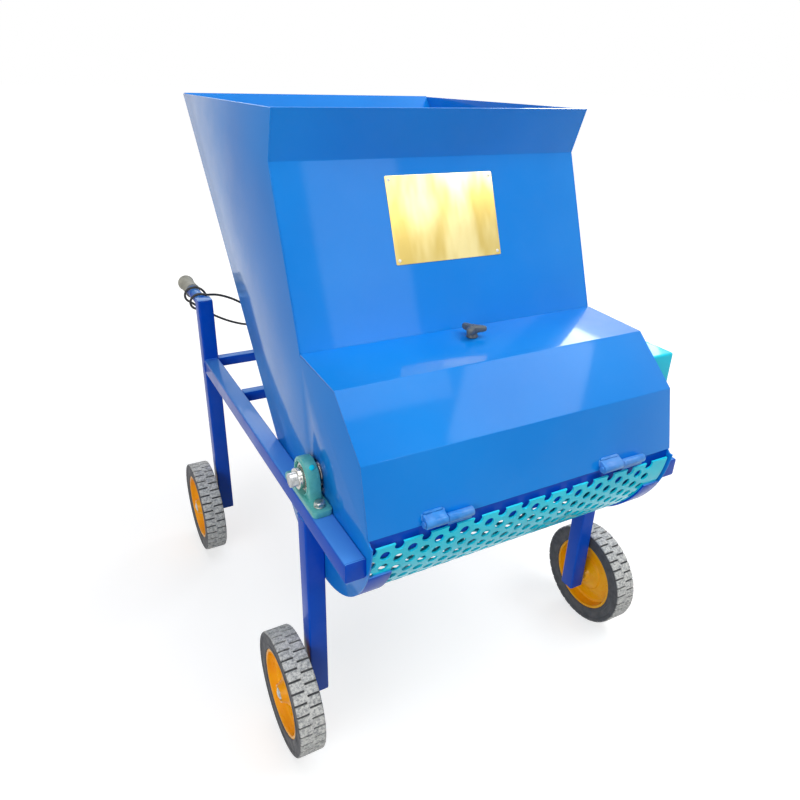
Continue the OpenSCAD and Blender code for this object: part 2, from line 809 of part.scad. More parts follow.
// Wheels: a tyre with two staggered rows of blocks, on a dished rim
axle_r = 8;
wheel_in = rail_out + 12;
rim_r = 96;
shoulder = 4;
tread_deep = 5;
slot_w = 4;
pocket = wheel_w - 12;

module tyre() {
  r = wheel_d / 2;
  color("darkslategray") difference() {
    rotate_extrude($fn = 96) polygon([[rim_r, 3], [rim_r + 8, 0], [r - shoulder, 0],
      [r, shoulder - 1], [r, wheel_w - shoulder + 1], [r - shoulder, wheel_w],
      [rim_r + 8, wheel_w], [rim_r, wheel_w - 3]]);
    for (i = [0:tread_blocks - 1], row = [0, 1])
      rotate([0, 0, (i + row / 2) * 360 / tread_blocks])
        translate([r - tread_deep, -slot_w / 2, row == 0 ? -1 : wheel_w / 2 - 1.5])
          cube([2 * tread_deep, slot_w, wheel_w / 2 + 2.5]);
  }
}

module rim() {
  h = wheel_w;
  gap = 0.4;
  color("orange") rotate_extrude($fn = 96) polygon([[axle_r + running, gap], [17, gap], [21, 6],
    [34, 12], [58, 23], [80, 27], [87, 24], [90, 3], [rim_r, 3], [rim_r, h - 3], [90, h - 3],
    [87, 35], [80, 32], [58, 30], [34, 39], [22, h - 8], [19.5, h - gap], [16, h - gap],
    [16, pocket - gap], [axle_r + running, pocket - gap]]);
}

module wheel_at(s, y) {
  translate([s * wheel_in, y, axle_z]) rotate([0, s * 90, 0]) children();
}

module tyre_front_left() {
  wheel_at(-1, leg_y) tyre();
}

module tyre_front_right() {
  wheel_at(1, leg_y) tyre();
}

module tyre_rear_left() {
  wheel_at(-1, rear_leg_y) tyre();
}

module tyre_rear_right() {
  wheel_at(1, rear_leg_y) tyre();
}

module rim_front_left() {
  wheel_at(-1, leg_y) rim();
}

module rim_front_right() {
  wheel_at(1, leg_y) rim();
}

module rim_rear_left() {
  wheel_at(-1, rear_leg_y) rim();
}

module rim_rear_right() {
  wheel_at(1, rear_leg_y) rim();
}

// Stub axles, welded in the legs, each with its spacer, and a washer and nut in the hub
module wheel_axles() {
  spacer = wheel_in - rail_out;
  inner = -spacer - tube_w + tube_t;
  color("silver") for (s = [-1, 1], y = [leg_y, rear_leg_y]) wheel_at(s, y) {
    translate([0, 0, inner]) cylinder(r = axle_r, h = wheel_w + 2 - inner);
    translate([0, 0, -spacer]) cylinder(r = 13, h = spacer);
    translate([0, 0, pocket]) cylinder(r = 15, h = 2);
    translate([0, 0, pocket + 2]) hexagon(24, 10);
  }
}

// Hood on two barrel hinges
hinge_y = -607;
hinge_z = 663;
hinge_pin_r = 4;
hood_barrels = [[-248, -204], [154, 204]];
fixed_barrels = [[-203.4, -151], [204.6, 262]];

module hood() {
  line = concat([[-308, 879.9]], [for (i = [1:3]) hood_line[i]]);
  color("royalblue") difference() {
    across(-half_w, half_w) polygon(folded(line, -sheet_t));
    translate([latch_x, latch_y, latch_z - 20]) cylinder(r = spindle_r + running, h = 40);
  }
}

module hood_knuckles() {
  foot = hood_line[3];
  up = unit(hood_line[2] - foot);
  color("cornflowerblue") for (b = hood_barrels) difference() {
    union() {
      bar_x(b[0], b[1], 9, hinge_y, hinge_z);
      across(b[0], b[1]) polygon([[hinge_y, hinge_z], foot + 6 * up, foot + 21 * up,
        [hinge_y + 4, hinge_z + 11]]);
    }
    bar_x(b[0] - 1, b[1] + 1, hinge_pin_r + running, hinge_y, hinge_z);
  }
}

module fixed_knuckles() {
  color("cornflowerblue") for (i = [0, 1]) let (f = fixed_barrels[i], h = hood_barrels[i]) {
    bar_x(f[0], f[1], 8.6, hinge_y, hinge_z);
    block([f[0] + 2, hinge_y - 2, bar_z[1] - 6], [f[1] - 2, bar_y[0], bar_z[1] + 1]);
    bar_x(h[0] - 1, f[1], hinge_pin_r, hinge_y, hinge_z);
    bar_x(h[0] - 4, h[0] - 1, 6, hinge_y, hinge_z);
  }
}

// Quarter-turn latch: the knob's spindle carries a tongue that turns in under the flange
latch_x = -5;
latch_y = -358;
latch_z = 877.7;
spindle_r = 5;
tongue_z = 865.5;

module latch_knob() {
  color("black") translate([latch_x, latch_y, latch_z + 1]) {
    cylinder(r1 = 12, r2 = 10, h = 24);
    for (a = [100, 220, 340]) rotate([0, 0, a]) {
      translate([0, -5, 10]) cube([21, 10, 12]);
      translate([21, 0, 10]) cylinder(r = 7, h = 12);
    }
  }
}

module latch_spindle() {
  color("silver") translate([latch_x, latch_y, 0]) {
    translate([0, 0, tongue_z - 5]) cylinder(r = spindle_r, h = latch_z + 1 - tongue_z + 5);
    translate([-8, -8, tongue_z]) cube([44, 16, 5]);
    translate([0, 0, tongue_z - 4]) hexagon(13, 5);
  }
}

left_rail();
right_rail();
front_legs();
rear_posts();
tube_caps();
motor_rails();
left_side_plate();
right_side_plate();
hopper_rear_wall();
hopper_front_wall();
front_bar();
screen();
screen_holders();
left_bearing_housing();
right_bearing_housing();
bearing_outer_rings();
hex_bolts();
belt_guard();
handle_pipes();
handle_grips();
nameplate();
nameplate_rivets();
motor_plate();
motor_body();
motor_end_shields();
motor_fan_cover();
terminal_box();
cable_gland();
cable_runs();
cable_winding();
cable_coil();
plug();
wheel_axles();
fixed_knuckles();
drive_belts();
switch_knob();
hood();
hood_knuckles();
latch_knob();
latch_spindle();
rotor_shaft();
rotor_discs();
hammer_pins();
bearing_inner_rings();
rotor_pulley();
hammers_front_low();
hammers_rear_low();
hammers_rear_top();
hammers_front_top();
motor_shaft();
motor_fan();
motor_pulley();
tyre_front_left();
rim_front_left();
tyre_front_right();
rim_front_right();
tyre_rear_left();
rim_rear_left();
tyre_rear_right();
rim_rear_right();
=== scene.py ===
"""Looks of a wheeled forage chopper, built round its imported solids.

Lengths here are millimetres, and turn to metres where a mesh is made. +X is to the right
seen from the front, +Y to the rear and +Z up, with the origin on the ground.
"""

import logging
import math
from dataclasses import dataclass, field
from enum import Enum
from typing import Any, Iterable, Optional, Sequence

import bmesh
import bpy
import numpy as np
from mathutils import Matrix, Vector


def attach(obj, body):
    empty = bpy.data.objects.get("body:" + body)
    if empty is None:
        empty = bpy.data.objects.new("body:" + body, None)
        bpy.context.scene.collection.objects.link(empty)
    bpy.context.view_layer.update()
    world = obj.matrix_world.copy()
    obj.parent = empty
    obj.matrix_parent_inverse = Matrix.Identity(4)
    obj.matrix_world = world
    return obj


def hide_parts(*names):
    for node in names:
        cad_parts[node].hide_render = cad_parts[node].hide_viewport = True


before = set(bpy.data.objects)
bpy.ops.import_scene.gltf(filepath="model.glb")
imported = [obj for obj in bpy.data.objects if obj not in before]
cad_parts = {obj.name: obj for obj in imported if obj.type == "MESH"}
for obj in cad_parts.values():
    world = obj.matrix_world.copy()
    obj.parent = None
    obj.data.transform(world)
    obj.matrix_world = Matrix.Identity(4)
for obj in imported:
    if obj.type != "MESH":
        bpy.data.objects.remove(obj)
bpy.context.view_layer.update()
LOG = logging.getLogger("forage_chopper")
FULL_TURN = 2.0 * math.pi
MM_PER_M = 1000.0
# Points that are nearer to each other than this, in metres, are one point
MERGE_DIST = 2e-6
# A corner that turns by less than this, in radians, is left straight
STRAIGHT = 0.01
# A rounded corner takes up no more than this share of an edge
ROUND_SHARE = 0.45
# Two faces that meet at less than the first angle are one flat face, and at more than the
# second one the edge between them is rounded
FLAT_TURN, CORNER_TURN = math.radians(0.6), math.radians(30)
# Radius at the ends of a bored hole
BORE_EDGE = 0.6
# Places that several parts share
RAIL_X = 370.0
ROTOR_Y, ROTOR_Z = -375.0, 661.0
AXLE_Y = (-384.0, 386.0)
AXLE_Z = 134.0
WALL_KNEE, WALL_FOOT = (-183.0, 1200.0), (-306.5, 875.8)
LATCH_AT = (-5.0, -358.0)
HANDLE_Z = 772.0
UPSIDE_DOWN = np.diag([1.0, 1.0, -1.0])


class Body(str, Enum):
    """The moving bodies that a piece can ride on."""

    CHASSIS = "chassis"
    ROTOR = "rotor"
    MOTOR = "motor_rotor"
    HOOD = "hood"
    LATCH = "latch"
    SWITCH = "switch"


class Axis(Enum):
    """The axis that a shape is laid along, other than the third, along which it is drawn."""

    X = 0
    Y = 1


class Pattern(Enum):
    """How the surface of a metal was left by its making."""

    GROUND = "ground"
    TURNED = "turned"
    PLATED = "plated"
    SCALE = "mill scale"


# Shapes -----------------------------------------------------------------------------


@dataclass
class Skin:
    """Points and the faces between them, kept as blocks of faces with equal corners."""

    points: np.ndarray
    faces: list[np.ndarray] = field(default_factory=list)

    def shifted(self, x: float = 0.0, y: float = 0.0, z: float = 0.0) -> "Skin":
        """The same skin, moved by x, y and z."""
        return Skin(self.points + np.array([x, y, z]), self.faces)

    def turned(self, matrix: np.ndarray) -> "Skin":
        """Every point multiplied by a 3x3 matrix, with the faces turned round if that mirrors it."""
        faces = [block[:, ::-1] for block in self.faces] if np.linalg.det(matrix) < 0 else self.faces
        return Skin(self.points @ matrix.T, faces)

    def along(self, axis: Axis) -> "Skin":
        """The skin with its own third axis laid along the given axis, by a cyclic swap of coordinates."""
        return Skin(np.roll(self.points, axis.value + 1, axis=1), self.faces)

    def mirrored(self) -> "Skin":
        """The skin's mirror image in the plane x = 0."""
        return self.turned(np.diag([-1.0, 1.0, 1.0]))


def joined(skins: Iterable[Skin]) -> Skin:
    """Puts several skins into one.

    Args:
        skins: the skins, which stay separate shells.

    Returns:
        One skin whose face numbers are shifted by the points before them.
    """
    points, faces, start = [], [], 0
    for skin in skins:
        points.append(skin.points)
        faces.extend(block + start for block in skin.faces)
        start += len(skin.points)
    return Skin(np.concatenate(points), faces)


def grid_skin(points: np.ndarray, wrap_rows: bool = False, caps: bool = False) -> Skin:
    """Lays four-cornered faces over a grid whose columns always close on themselves.

    Args:
        points: an array of rows by columns by 3.
        wrap_rows: the last row also joins the first, which gives a ring.
        caps: the first and last rows are filled with one face each.

    Returns:
        The skin. Face (i, j) joins (i, j), (i, j + 1), (i + 1, j + 1) and (i + 1, j).
    """
    rows, columns = points.shape[:2]
    i = np.arange(rows if wrap_rows else rows - 1)[:, None]
    j = np.arange(columns)[None, :]
    i2, j2 = (i + 1) % rows, (j + 1) % columns
    quads = np.stack([i * columns + j, i * columns + j2, i2 * columns + j2, i2 * columns + j], -1)
    faces = [quads.reshape(-1, 4)]
    if caps:
        ring = np.arange(columns)
        faces.append(ring[::-1][None, :])
        faces.append(((rows - 1) * columns + ring)[None, :])
    return Skin(points.reshape(-1, 3).astype(float), faces)


def vertex_normals(line: np.ndarray, closed: bool) -> np.ndarray:
    """Mitred sideways directions of a line of 2-D points.

    With m and n, the right-hand normals of a point's two edges, it is (m + n) / (1 + m.n).

    Args:
        line: the points, n by 2.
        closed: the last point joins the first.

    Returns:
        One direction for each point, n by 2, long enough to keep a parallel line parallel.
    """
    edges = np.roll(line, -1, axis=0) - line
    edges /= np.maximum(np.linalg.norm(edges, axis=1, keepdims=True), 1e-9)
    after = np.stack([edges[:, 1], -edges[:, 0]], 1)
    before = np.roll(after, 1, axis=0)
    if not closed:
        before[0], after[-1] = after[0], before[-1]
    return (before + after) / (1.0 + np.sum(before * after, axis=1, keepdims=True))


def counterclockwise(outline: np.ndarray) -> np.ndarray:
    """The outline in the order that gives it a positive area."""
    x, y = outline[:, 0], outline[:, 1]
    area = np.sum(x * np.roll(y, -1) - np.roll(x, -1) * y)
    return outline if area > 0 else outline[::-1]


def rounded(corners: Sequence[Sequence[float]], radius: float, closed: bool = True,
            steps: int = 6) -> np.ndarray:
    """Rounds the corners of a line of 2-D points with arcs that touch both edges.

    Args:
        corners: the corner points.
        radius: the arc's radius, the same at each corner that turns.
        closed: the line is an outline; otherwise its two ends stay as they are.
        steps: points on each arc, less one.

    Returns:
        The points of the rounded line. An arc starts r tan(turn / 2) before its corner.
    """
    pts = np.asarray(corners, float)
    n = len(pts)
    out: list[np.ndarray] = []
    for k in range(n):
        if not closed and k in (0, n - 1):
            out.append(pts[k][None, :])
            continue
        a, b = pts[k] - pts[k - 1], pts[(k + 1) % n] - pts[k]
        la, lb = np.linalg.norm(a), np.linalg.norm(b)
        a, b = a / la, b / lb
        turn = math.atan2(a[0] * b[1] - a[1] * b[0], float(a @ b))
        if abs(turn) < STRAIGHT:
            out.append(pts[k][None, :])
            continue
        reach = min(radius * math.tan(abs(turn) / 2), ROUND_SHARE * la, ROUND_SHARE * lb)
        r = reach / math.tan(abs(turn) / 2)
        start = pts[k] - reach * a
        normal = np.array([-a[1], a[0]]) * math.copysign(1.0, turn)
        s = np.linspace(0.0, abs(turn), steps + 1)[:, None]
        out.append(start + r * np.sin(s) * a + r * (1 - np.cos(s)) * normal)
    return np.concatenate(out)


def rectangle(width: float, height: float, radius: float = 0.0, steps: int = 5) -> np.ndarray:
    """A rectangle about the origin with rounded corners."""
    w, h = width / 2, height / 2
    corners = [(-w, -h), (w, -h), (w, h), (-w, h)]
    return rounded(corners, radius, steps=steps) if radius else np.array(corners, float)


def prism(outline: np.ndarray, low: float, high: float, edge: float = 0.6, bore: float = 0.0) -> Skin:
    """Carries an outline along the third axis, with its end edges rounded.

    Each ring is the outline drawn in by e (1 - cos a) at a distance e (1 - sin a) from the
    end, with a from 90 to 0 degrees. With a bore, the rings go on through a round hole
    about the outline's own origin and close on the first one.

    Args:
        outline: the section, n by 2.
        low: where it starts.
        high: where it ends.
        edge: radius of the rounded end edges.
        bore: radius of a hole through it, or 0 for none.

    Returns:
        A closed skin along the third axis.
    """
    outline = counterclockwise(np.asarray(outline, float))
    normals = vertex_normals(outline, closed=True)
    a = np.radians([90.0, 45.0, 0.0]) if edge > 0 else np.array([0.0])
    drawn = np.concatenate([edge * (1 - np.cos(a)), edge * (1 - np.cos(a[::-1]))])
    height = np.concatenate([low + edge * (1 - np.sin(a)), high - edge * (1 - np.sin(a[::-1]))])
    rings = [np.column_stack([outline - d * normals, np.full(len(outline), z)])
             for d, z in zip(drawn, height)]
    if bore <= 0:
        return grid_skin(np.array(rings), caps=True)
    way = outline / np.linalg.norm(outline, axis=1, keepdims=True)
    soft = min(edge, BORE_EDGE)
    for r, z in ((bore + soft, high), (bore, high - soft), (bore, low + soft), (bore + soft, low)):
        rings.append(np.column_stack([way * r, np.full(len(way), z)]))
    return grid_skin(np.array(rings), wrap_rows=True)


def lathe(profile: Sequence[Sequence[float]], count: int = 64, ring: bool = False) -> Skin:
    """Turns a profile of (place along the axis, radius) about the third axis.

    Args:
        profile: the points, from the low end outwards and on to the high end.
        count: points round the axis.
        ring: the profile closes on itself and never meets the axis.

    Returns:
        A closed skin: point (i, j) is radius i at angle j, at the height of profile point i.
    """
    line = np.asarray(profile, float)
    a = np.arange(count) * FULL_TURN / count
    points = np.stack([line[:, 1, None] * np.cos(a), line[:, 1, None] * np.sin(a),
                       np.repeat(line[:, :1], count, axis=1)], -1)
    return grid_skin(points, wrap_rows=ring, caps=not ring)


def soft_profile(corners: Sequence[Sequence[float]], radius: float, ring: bool = True,
                 steps: int = 3) -> np.ndarray:
    """A lathe profile with its corners rounded."""
    return rounded(corners, radius, closed=ring, steps=steps)


def hexagon_head(flats: float, low: float, high: float, chamfer: float = 30.0) -> Skin:
    """A hexagon bar whose top corners are turned off by a cone.

    At angle a the bar reaches R = (flats / 2) / cos(a mod 60 - 30), and its side ends where
    the cone cuts it: (R - 0.47 flats) tan(chamfer) below the top.

    Args:
        flats: width across the flats.
        low: where it starts.
        high: the height of its top.
        chamfer: angle of the cone in degrees.

    Returns:
        A closed skin along the third axis.
    """
    a = np.arange(72) * FULL_TURN / 72
    reach = flats / 2 / np.cos((a % (math.pi / 3)) - math.pi / 6)
    inner = np.full_like(reach, 0.47 * flats)
    cut = high - (reach - inner) * math.tan(math.radians(chamfer))
    foot = low + (reach - inner) * math.tan(math.radians(chamfer)) * 0.5
    rows = [(inner, np.full_like(a, low)), (reach, foot), (reach, cut), (inner, np.full_like(a, high)),
            (inner * 0.5, np.full_like(a, high))]
    points = np.array([np.column_stack([r * np.cos(a), r * np.sin(a), z]) for r, z in rows])
    return grid_skin(points, caps=True)


def threaded_end(radius: float, low: float, high: float, pitch: float = 1.75) -> Skin:
    """A screwed bar.

    Its radius falls by 0.6 pitch times a triangle wave of z / pitch less the share of a turn.

    Args:
        radius: the outer radius of the thread.
        low: where it starts.
        high: where it ends, with a small chamfer.
        pitch: distance between two threads.

    Returns:
        A closed skin along the third axis.
    """
    count, chamfer = 24, 0.8
    z = np.linspace(low, high, max(int((high - low) / pitch * 4), 4) + 1)
    a = np.arange(count) * FULL_TURN / count
    wave = np.abs(((z[:, None] / pitch - a[None, :] / FULL_TURN) % 1.0) - 0.5) * 2.0
    r = radius - 0.6 * pitch * wave
    r[-1] = r[-1] - chamfer
    points = np.stack([r * np.cos(a), r * np.sin(a), np.repeat(z[:, None], count, axis=1)], -1)
    return grid_skin(points, caps=True)


def frames_along(path: np.ndarray) -> tuple[np.ndarray, np.ndarray, np.ndarray]:
    """Carries a cross-section's two directions along a path without letting them spin.

    Args:
        path: the points of the path, n by 3.

    Returns:
        The headings and two directions square to them. Each step turns the last pair by
        the smallest turn that takes one heading to the next.
    """
    heading = np.gradient(path, axis=0)
    heading /= np.linalg.norm(heading, axis=1, keepdims=True)
    first = np.cross(heading[0], [0.0, 0.3, 1.0])
    u = np.empty_like(path)
    u[0] = first / np.linalg.norm(first)
    for k in range(1, len(path)):
        flat = u[k - 1] - heading[k] * (u[k - 1] @ heading[k])
        u[k] = flat / np.linalg.norm(flat)
    return heading, u, np.cross(heading, u)


def tube(path: np.ndarray, radius: np.ndarray | float, sides: int = 12, squash: float = 1.0) -> Skin:
    """Sweeps a circle along a path: point (i, j) is p_i + r_i (cos a_j u_i + squash sin a_j v_i).

    Args:
        path: the points of the path, n by 3.
        radius: one radius, or one for each point.
        sides: points round it.
        squash: height of the section over its width.

    Returns:
        A closed skin with filled ends.
    """
    _, u, v = frames_along(path)
    r = np.broadcast_to(np.asarray(radius, float), (len(path),))[:, None, None]
    a = (np.arange(sides) * FULL_TURN / sides)[None, :, None]
    points = path[:, None, :] + r * (np.cos(a) * u[:, None, :] + squash * np.sin(a) * v[:, None, :])
    return grid_skin(points, caps=True)


def weld_bead(start: Sequence[float], end: Sequence[float], radius: float = 2.6, seed: int = 1) -> Skin:
    """A hand-laid weld between two points.

    Its radius swells by a tenth with each ripple, 3.5 mm apart, wanders by a few tenths with a
    seeded noise, and falls to nothing at both ends.

    Args:
        start: where the bead starts.
        end: where it stops.
        radius: its mean radius.
        seed: number that fixes the wander.

    Returns:
        A closed skin.
    """
    ring_every, ripple = 1.2, 3.5
    a, b = np.asarray(start, float), np.asarray(end, float)
    length = float(np.linalg.norm(b - a))
    count = max(int(length / ring_every), 8)
    s = np.linspace(0.0, 1.0, count)
    wander = np.random.default_rng(seed).normal(size=(count, 3))
    wander = np.cumsum(wander, axis=0) / math.sqrt(count) * 0.25
    path = a + (b - a) * s[:, None] + wander * np.sin(math.pi * s)[:, None]
    ends = np.clip(np.minimum(s, 1 - s) * length / (1.6 * radius), 0.02, 1.0)
    r = radius * np.sqrt(1 - (1 - ends) ** 2) * (1 + 0.1 * np.sin(s * length / ripple * FULL_TURN))
    return tube(path, np.maximum(r, 0.05), sides=8)


def fold_section(line: Sequence[Sequence[float]], thickness: float, radius: float) -> np.ndarray:
    """Outline of a folded sheet.

    It is the line with rounded bends, and the same line moved sideways by the thickness.

    Args:
        line: the bend points of one face, in order.
        thickness: the sheet's thickness, to the right of the line's run when positive.
        radius: radius of each bend on that face.

    Returns:
        The closed outline, n by 2.
    """
    face = rounded(line, radius, closed=False, steps=5)
    other = face + thickness * vertex_normals(face, closed=False)
    return np.concatenate([face, other[::-1]])


# Finishes ---------------------------------------------------------------------------


def linear(hex_colour: str) -> tuple[float, float, float, float]:
    """Turns an sRGB hex colour into the linear values that the shaders take."""
    values = [int(hex_colour[i:i + 2], 16) / 255 for i in (0, 2, 4)]
    return (*(v / 12.92 if v <= 0.04045 else ((v + 0.055) / 1.055) ** 2.4 for v in values), 1.0)


def per_metre(size_mm: float) -> float:
    """The texture scale at which one feature is about size_mm across."""
    return MM_PER_M / size_mm


def add(tree: bpy.types.NodeTree, kind: str, settings: Optional[dict[str, Any]] = None,
        links: Optional[dict[str, Any]] = None) -> bpy.types.Node:
    """Adds one node to a material.

    Args:
        tree: the material's node tree.
        kind: the node's type.
        settings: properties or input values, by name or by input number.
        links: output sockets to join to its inputs, by name or by input number.

    Returns:
        The node.
    """
    node = tree.nodes.new(kind)
    for key, value in (settings or {}).items():
        if isinstance(key, str) and hasattr(node, key):
            setattr(node, key, value)
        else:
            node.inputs[key].default_value = value
    for key, socket in (links or {}).items():
        tree.links.new(socket, node.inputs[key])
    return node


@dataclass
class Bench:
    """A material under way: its tree, its shader and the object coordinates that patterns read."""

    material: bpy.types.Material

    def __post_init__(self) -> None:
        """Empties the tree and sets up the shader, its output and the coordinates."""
        self.material.use_nodes = True
        self.tree = self.material.node_tree
        self.tree.nodes.clear()
        self.shader = add(self.tree, "ShaderNodeBsdfPrincipled")
        add(self.tree, "ShaderNodeOutputMaterial", links={"Surface": self.shader.outputs["BSDF"]})
        self.place = add(self.tree, "ShaderNodeTexCoord").outputs["Object"]

    def set(self, **values: Any) -> None:
        """Sets values on the shader's own sockets, with _ for a blank in the name."""
        for key, value in values.items():
            self.shader.inputs[key.replace("_", " ")].default_value = value

    def noise(self, size_mm: float, detail: float = 3.0, rough: float = 0.55,
              stretch: tuple[float, float, float] = (1.0, 1.0, 1.0)) -> Any:
        """A noise whose features are size_mm across, drawn out along an axis by a stretch below 1."""
        spot = add(self.tree, "ShaderNodeMapping", {"Scale": stretch}, {"Vector": self.place})
        return add(self.tree, "ShaderNodeTexNoise",
                   {"Scale": per_metre(size_mm), "Detail": detail, "Roughness": rough},
                   {"Vector": spot.outputs["Vector"]}).outputs["Fac"]

    def span(self, value: Any, low: float, high: float, to_low: float, to_high: float) -> Any:
        """Maps low..high of a value to to_low..to_high, and holds it there outside."""
        return add(self.tree, "ShaderNodeMapRange",
                   {"From Min": low, "From Max": high, "To Min": to_low, "To Max": to_high},
                   {"Value": value}).outputs["Result"]

    def blend(self, share: Any, first: Any, second: Any) -> Any:
        """Mixes two colours, each a hex value or a socket, by a share."""
        node = add(self.tree, "ShaderNodeMix", {"data_type": "RGBA"}, {0: share})
        for index, colour in ((6, first), (7, second)):
            if isinstance(colour, str):
                node.inputs[index].default_value = linear(colour)
            else:
                self.tree.links.new(colour, node.inputs[index])
        return node.outputs[2]

    def mottled(self, value: Any, low: float, high: float, first: Any, second: Any) -> Any:
        """Goes from one colour to another as a value goes from low to high."""
        return self.blend(self.span(value, low, high, 0.0, 1.0), first, second)

    def bump(self, height: Any, depth_mm: float, strength: float = 1.0, under: Any = None) -> Any:
        """Turns a height of 0..1 into a bump of depth_mm, over another bump if there is one."""
        links = {"Height": height}
        if under is not None:
            links["Normal"] = under
        return add(self.tree, "ShaderNodeBump", {"Distance": depth_mm / MM_PER_M, "Strength": strength},
                   links).outputs["Normal"]

    def join(self, **sockets: Any) -> None:
        """Joins sockets to the shader's inputs, with _ for a blank in the name."""
        for key, socket in sockets.items():
            self.tree.links.new(socket, self.shader.inputs[key.replace("_", " ")])


@dataclass(frozen=True)
class Enamel:
    """Two coats of gloss enamel sprayed on steel sheet.

    It gives the eye deep colour under a thin clear gloss, a faint orange peel, slow waves
    where the sheet was drawn by its welds, and a film of dust that follows broad patches.
    Where a top-light colour is named, the faces that look up are painted with it: a painted highlight for
    light from above.
    """

    name: str
    colour: str
    shade: str
    dust: str = "A9BEDC"
    dust_share: float = 0.02
    waves_mm: float = 260.0
    wave_depth: float = 0.5
    peel_mm: float = 3.2
    shine: float = 0.7
    roughness: float = 0.34
    # A lighter colour painted on faces that look up, a painted highlight, and how much of it they take
    painted_top_light: str = ""
    looks_up: tuple[float, float] = (0.3, 0.95)
    top_light_share: float = 0.9

    def material(self) -> bpy.types.Material:
        """Builds the material."""
        bench = Bench(bpy.data.materials.new(self.name))
        bench.set(IOR=1.5, Specular_IOR_Level=0.04, Coat_Weight=self.shine, Coat_Roughness=0.08,
                  Coat_IOR=1.28)
        broad = bench.noise(self.waves_mm, 1.0)
        film = bench.noise(120.0, 5.0, 0.6)
        base = bench.mottled(broad, 0.35, 0.65, self.colour, self.shade)
        base = bench.blend(bench.span(film, 0.42, 0.75, 0.0, self.dust_share), base, self.dust)
        # Painted highlight: faces that look up are blended towards the lighter colour, as if lit from above.
        if self.painted_top_light:
            face = add(bench.tree, "ShaderNodeNewGeometry").outputs["Normal"]
            up = add(bench.tree, "ShaderNodeSeparateXYZ", links={0: face}).outputs["Z"]
            top_light_mask = bench.span(up, *self.looks_up, 0.0, self.top_light_share)
            base = bench.blend(top_light_mask, base, self.painted_top_light)
        rough = bench.span(film, 0.35, 0.75, self.roughness - 0.06, self.roughness + 0.12)
        slow = bench.bump(broad, self.wave_depth)
        peel = bench.bump(bench.noise(self.peel_mm, 1.0), 0.012, 1.0, slow)
        bench.join(Base_Color=base, Roughness=rough, Normal=slow, Coat_Normal=peel)
        return bench.material


@dataclass(frozen=True)
class CastEnamel:
    """Satin enamel over a sand casting: a grainy skin, thin on the high spots."""

    name: str
    colour: str
    shade: str
    grit_mm: float = 1.6
    shine: float = 0.35

    def material(self) -> bpy.types.Material:
        """Builds the material."""
        bench = Bench(bpy.data.materials.new(self.name))
        bench.set(IOR=1.5, Specular_IOR_Level=0.3, Coat_Weight=self.shine, Coat_Roughness=0.18, Coat_IOR=1.4)
        stain = bench.noise(18.0, 5.0, 0.6)
        grit = bench.noise(self.grit_mm, 3.0)
        base = bench.mottled(stain, 0.35, 0.7, self.colour, self.shade)
        base = bench.blend(bench.span(grit, 0.6, 0.8, 0.0, 0.25), base, "D9E6E0")
        bench.join(Base_Color=base, Roughness=bench.span(grit, 0.3, 0.7, 0.34, 0.52),
                   Normal=bench.bump(grit, 0.16, 0.8))
        return bench.material


@dataclass(frozen=True)
class Metal:
    """Bare or zinc-plated steel and cast iron, with the marks of its making.

    Ground and turned steel carry fine lines 0.4 mm apart, drawn at 1.5 mm so that they show.
    Plated steel is cloudy, with a faint warm tint. Mill scale is an oxide, blue-grey with
    brown, and leaves less than half of the steel bare.
    """

    name: str
    colour: str
    shade: str
    pattern: Pattern
    roughness: float = 0.3
    bare: float = 0.45

    def material(self) -> bpy.types.Material:
        """Builds the material."""
        bench = Bench(bpy.data.materials.new(self.name))
        bench.set(Metallic=self.bare if self.pattern is Pattern.SCALE else 1.0)
        cloud = bench.noise(14.0, 5.0, 0.6)
        size_mm, stretch = {Pattern.GROUND: (1.5, (0.06, 1.0, 1.0)),
                            Pattern.TURNED: (1.5, (1.0, 0.08, 0.08)),
                            Pattern.PLATED: (4.0, (1.0, 1.0, 1.0)),
                            Pattern.SCALE: (4.0, (1.0, 1.0, 1.0))}[self.pattern]
        lines = bench.noise(size_mm, 4.0, 0.6, stretch)
        base = bench.mottled(cloud, 0.35, 0.68, self.colour, self.shade)
        if self.pattern is Pattern.SCALE:
            rust = bench.span(bench.noise(9.0, 8.0, 0.7), 0.56, 0.72, 0.0, 0.6)
            base = bench.blend(rust, base, "6B4A33")
        bench.join(Base_Color=base,
                   Roughness=bench.span(lines, 0.3, 0.7, self.roughness - 0.08, self.roughness + 0.14),
                   Normal=bench.bump(lines, 0.03, 0.7))
        return bench.material


@dataclass(frozen=True)
class Moulded:
    """Injection-moulded plastic: even, with a fine spark-eroded grain and a few scuffs."""

    name: str
    colour: str
    shade: str
    roughness: float = 0.32
    grain_mm: float = 0.9
    grain_depth: float = 0.04
    scuff: str = "C9C4B8"
    scuff_share: float = 0.2

    def material(self) -> bpy.types.Material:
        """Builds the material."""
        bench = Bench(bpy.data.materials.new(self.name))
        bench.set(IOR=1.49, Specular_IOR_Level=0.25)
        cloud = bench.noise(32.0, 4.0, 0.55)
        grain = bench.noise(self.grain_mm, 2.0)
        rubs = bench.noise(7.0, 6.0, 0.7, (1.0, 0.25, 0.25))
        base = bench.mottled(cloud, 0.35, 0.68, self.colour, self.shade)
        base = bench.blend(bench.span(rubs, 0.62, 0.8, 0.0, self.scuff_share), base, self.scuff)
        bench.join(Base_Color=base,
                   Roughness=bench.span(rubs, 0.4, 0.75, self.roughness - 0.05, self.roughness + 0.18),
                   Normal=bench.bump(grain, self.grain_depth, 0.8))
        return bench.material


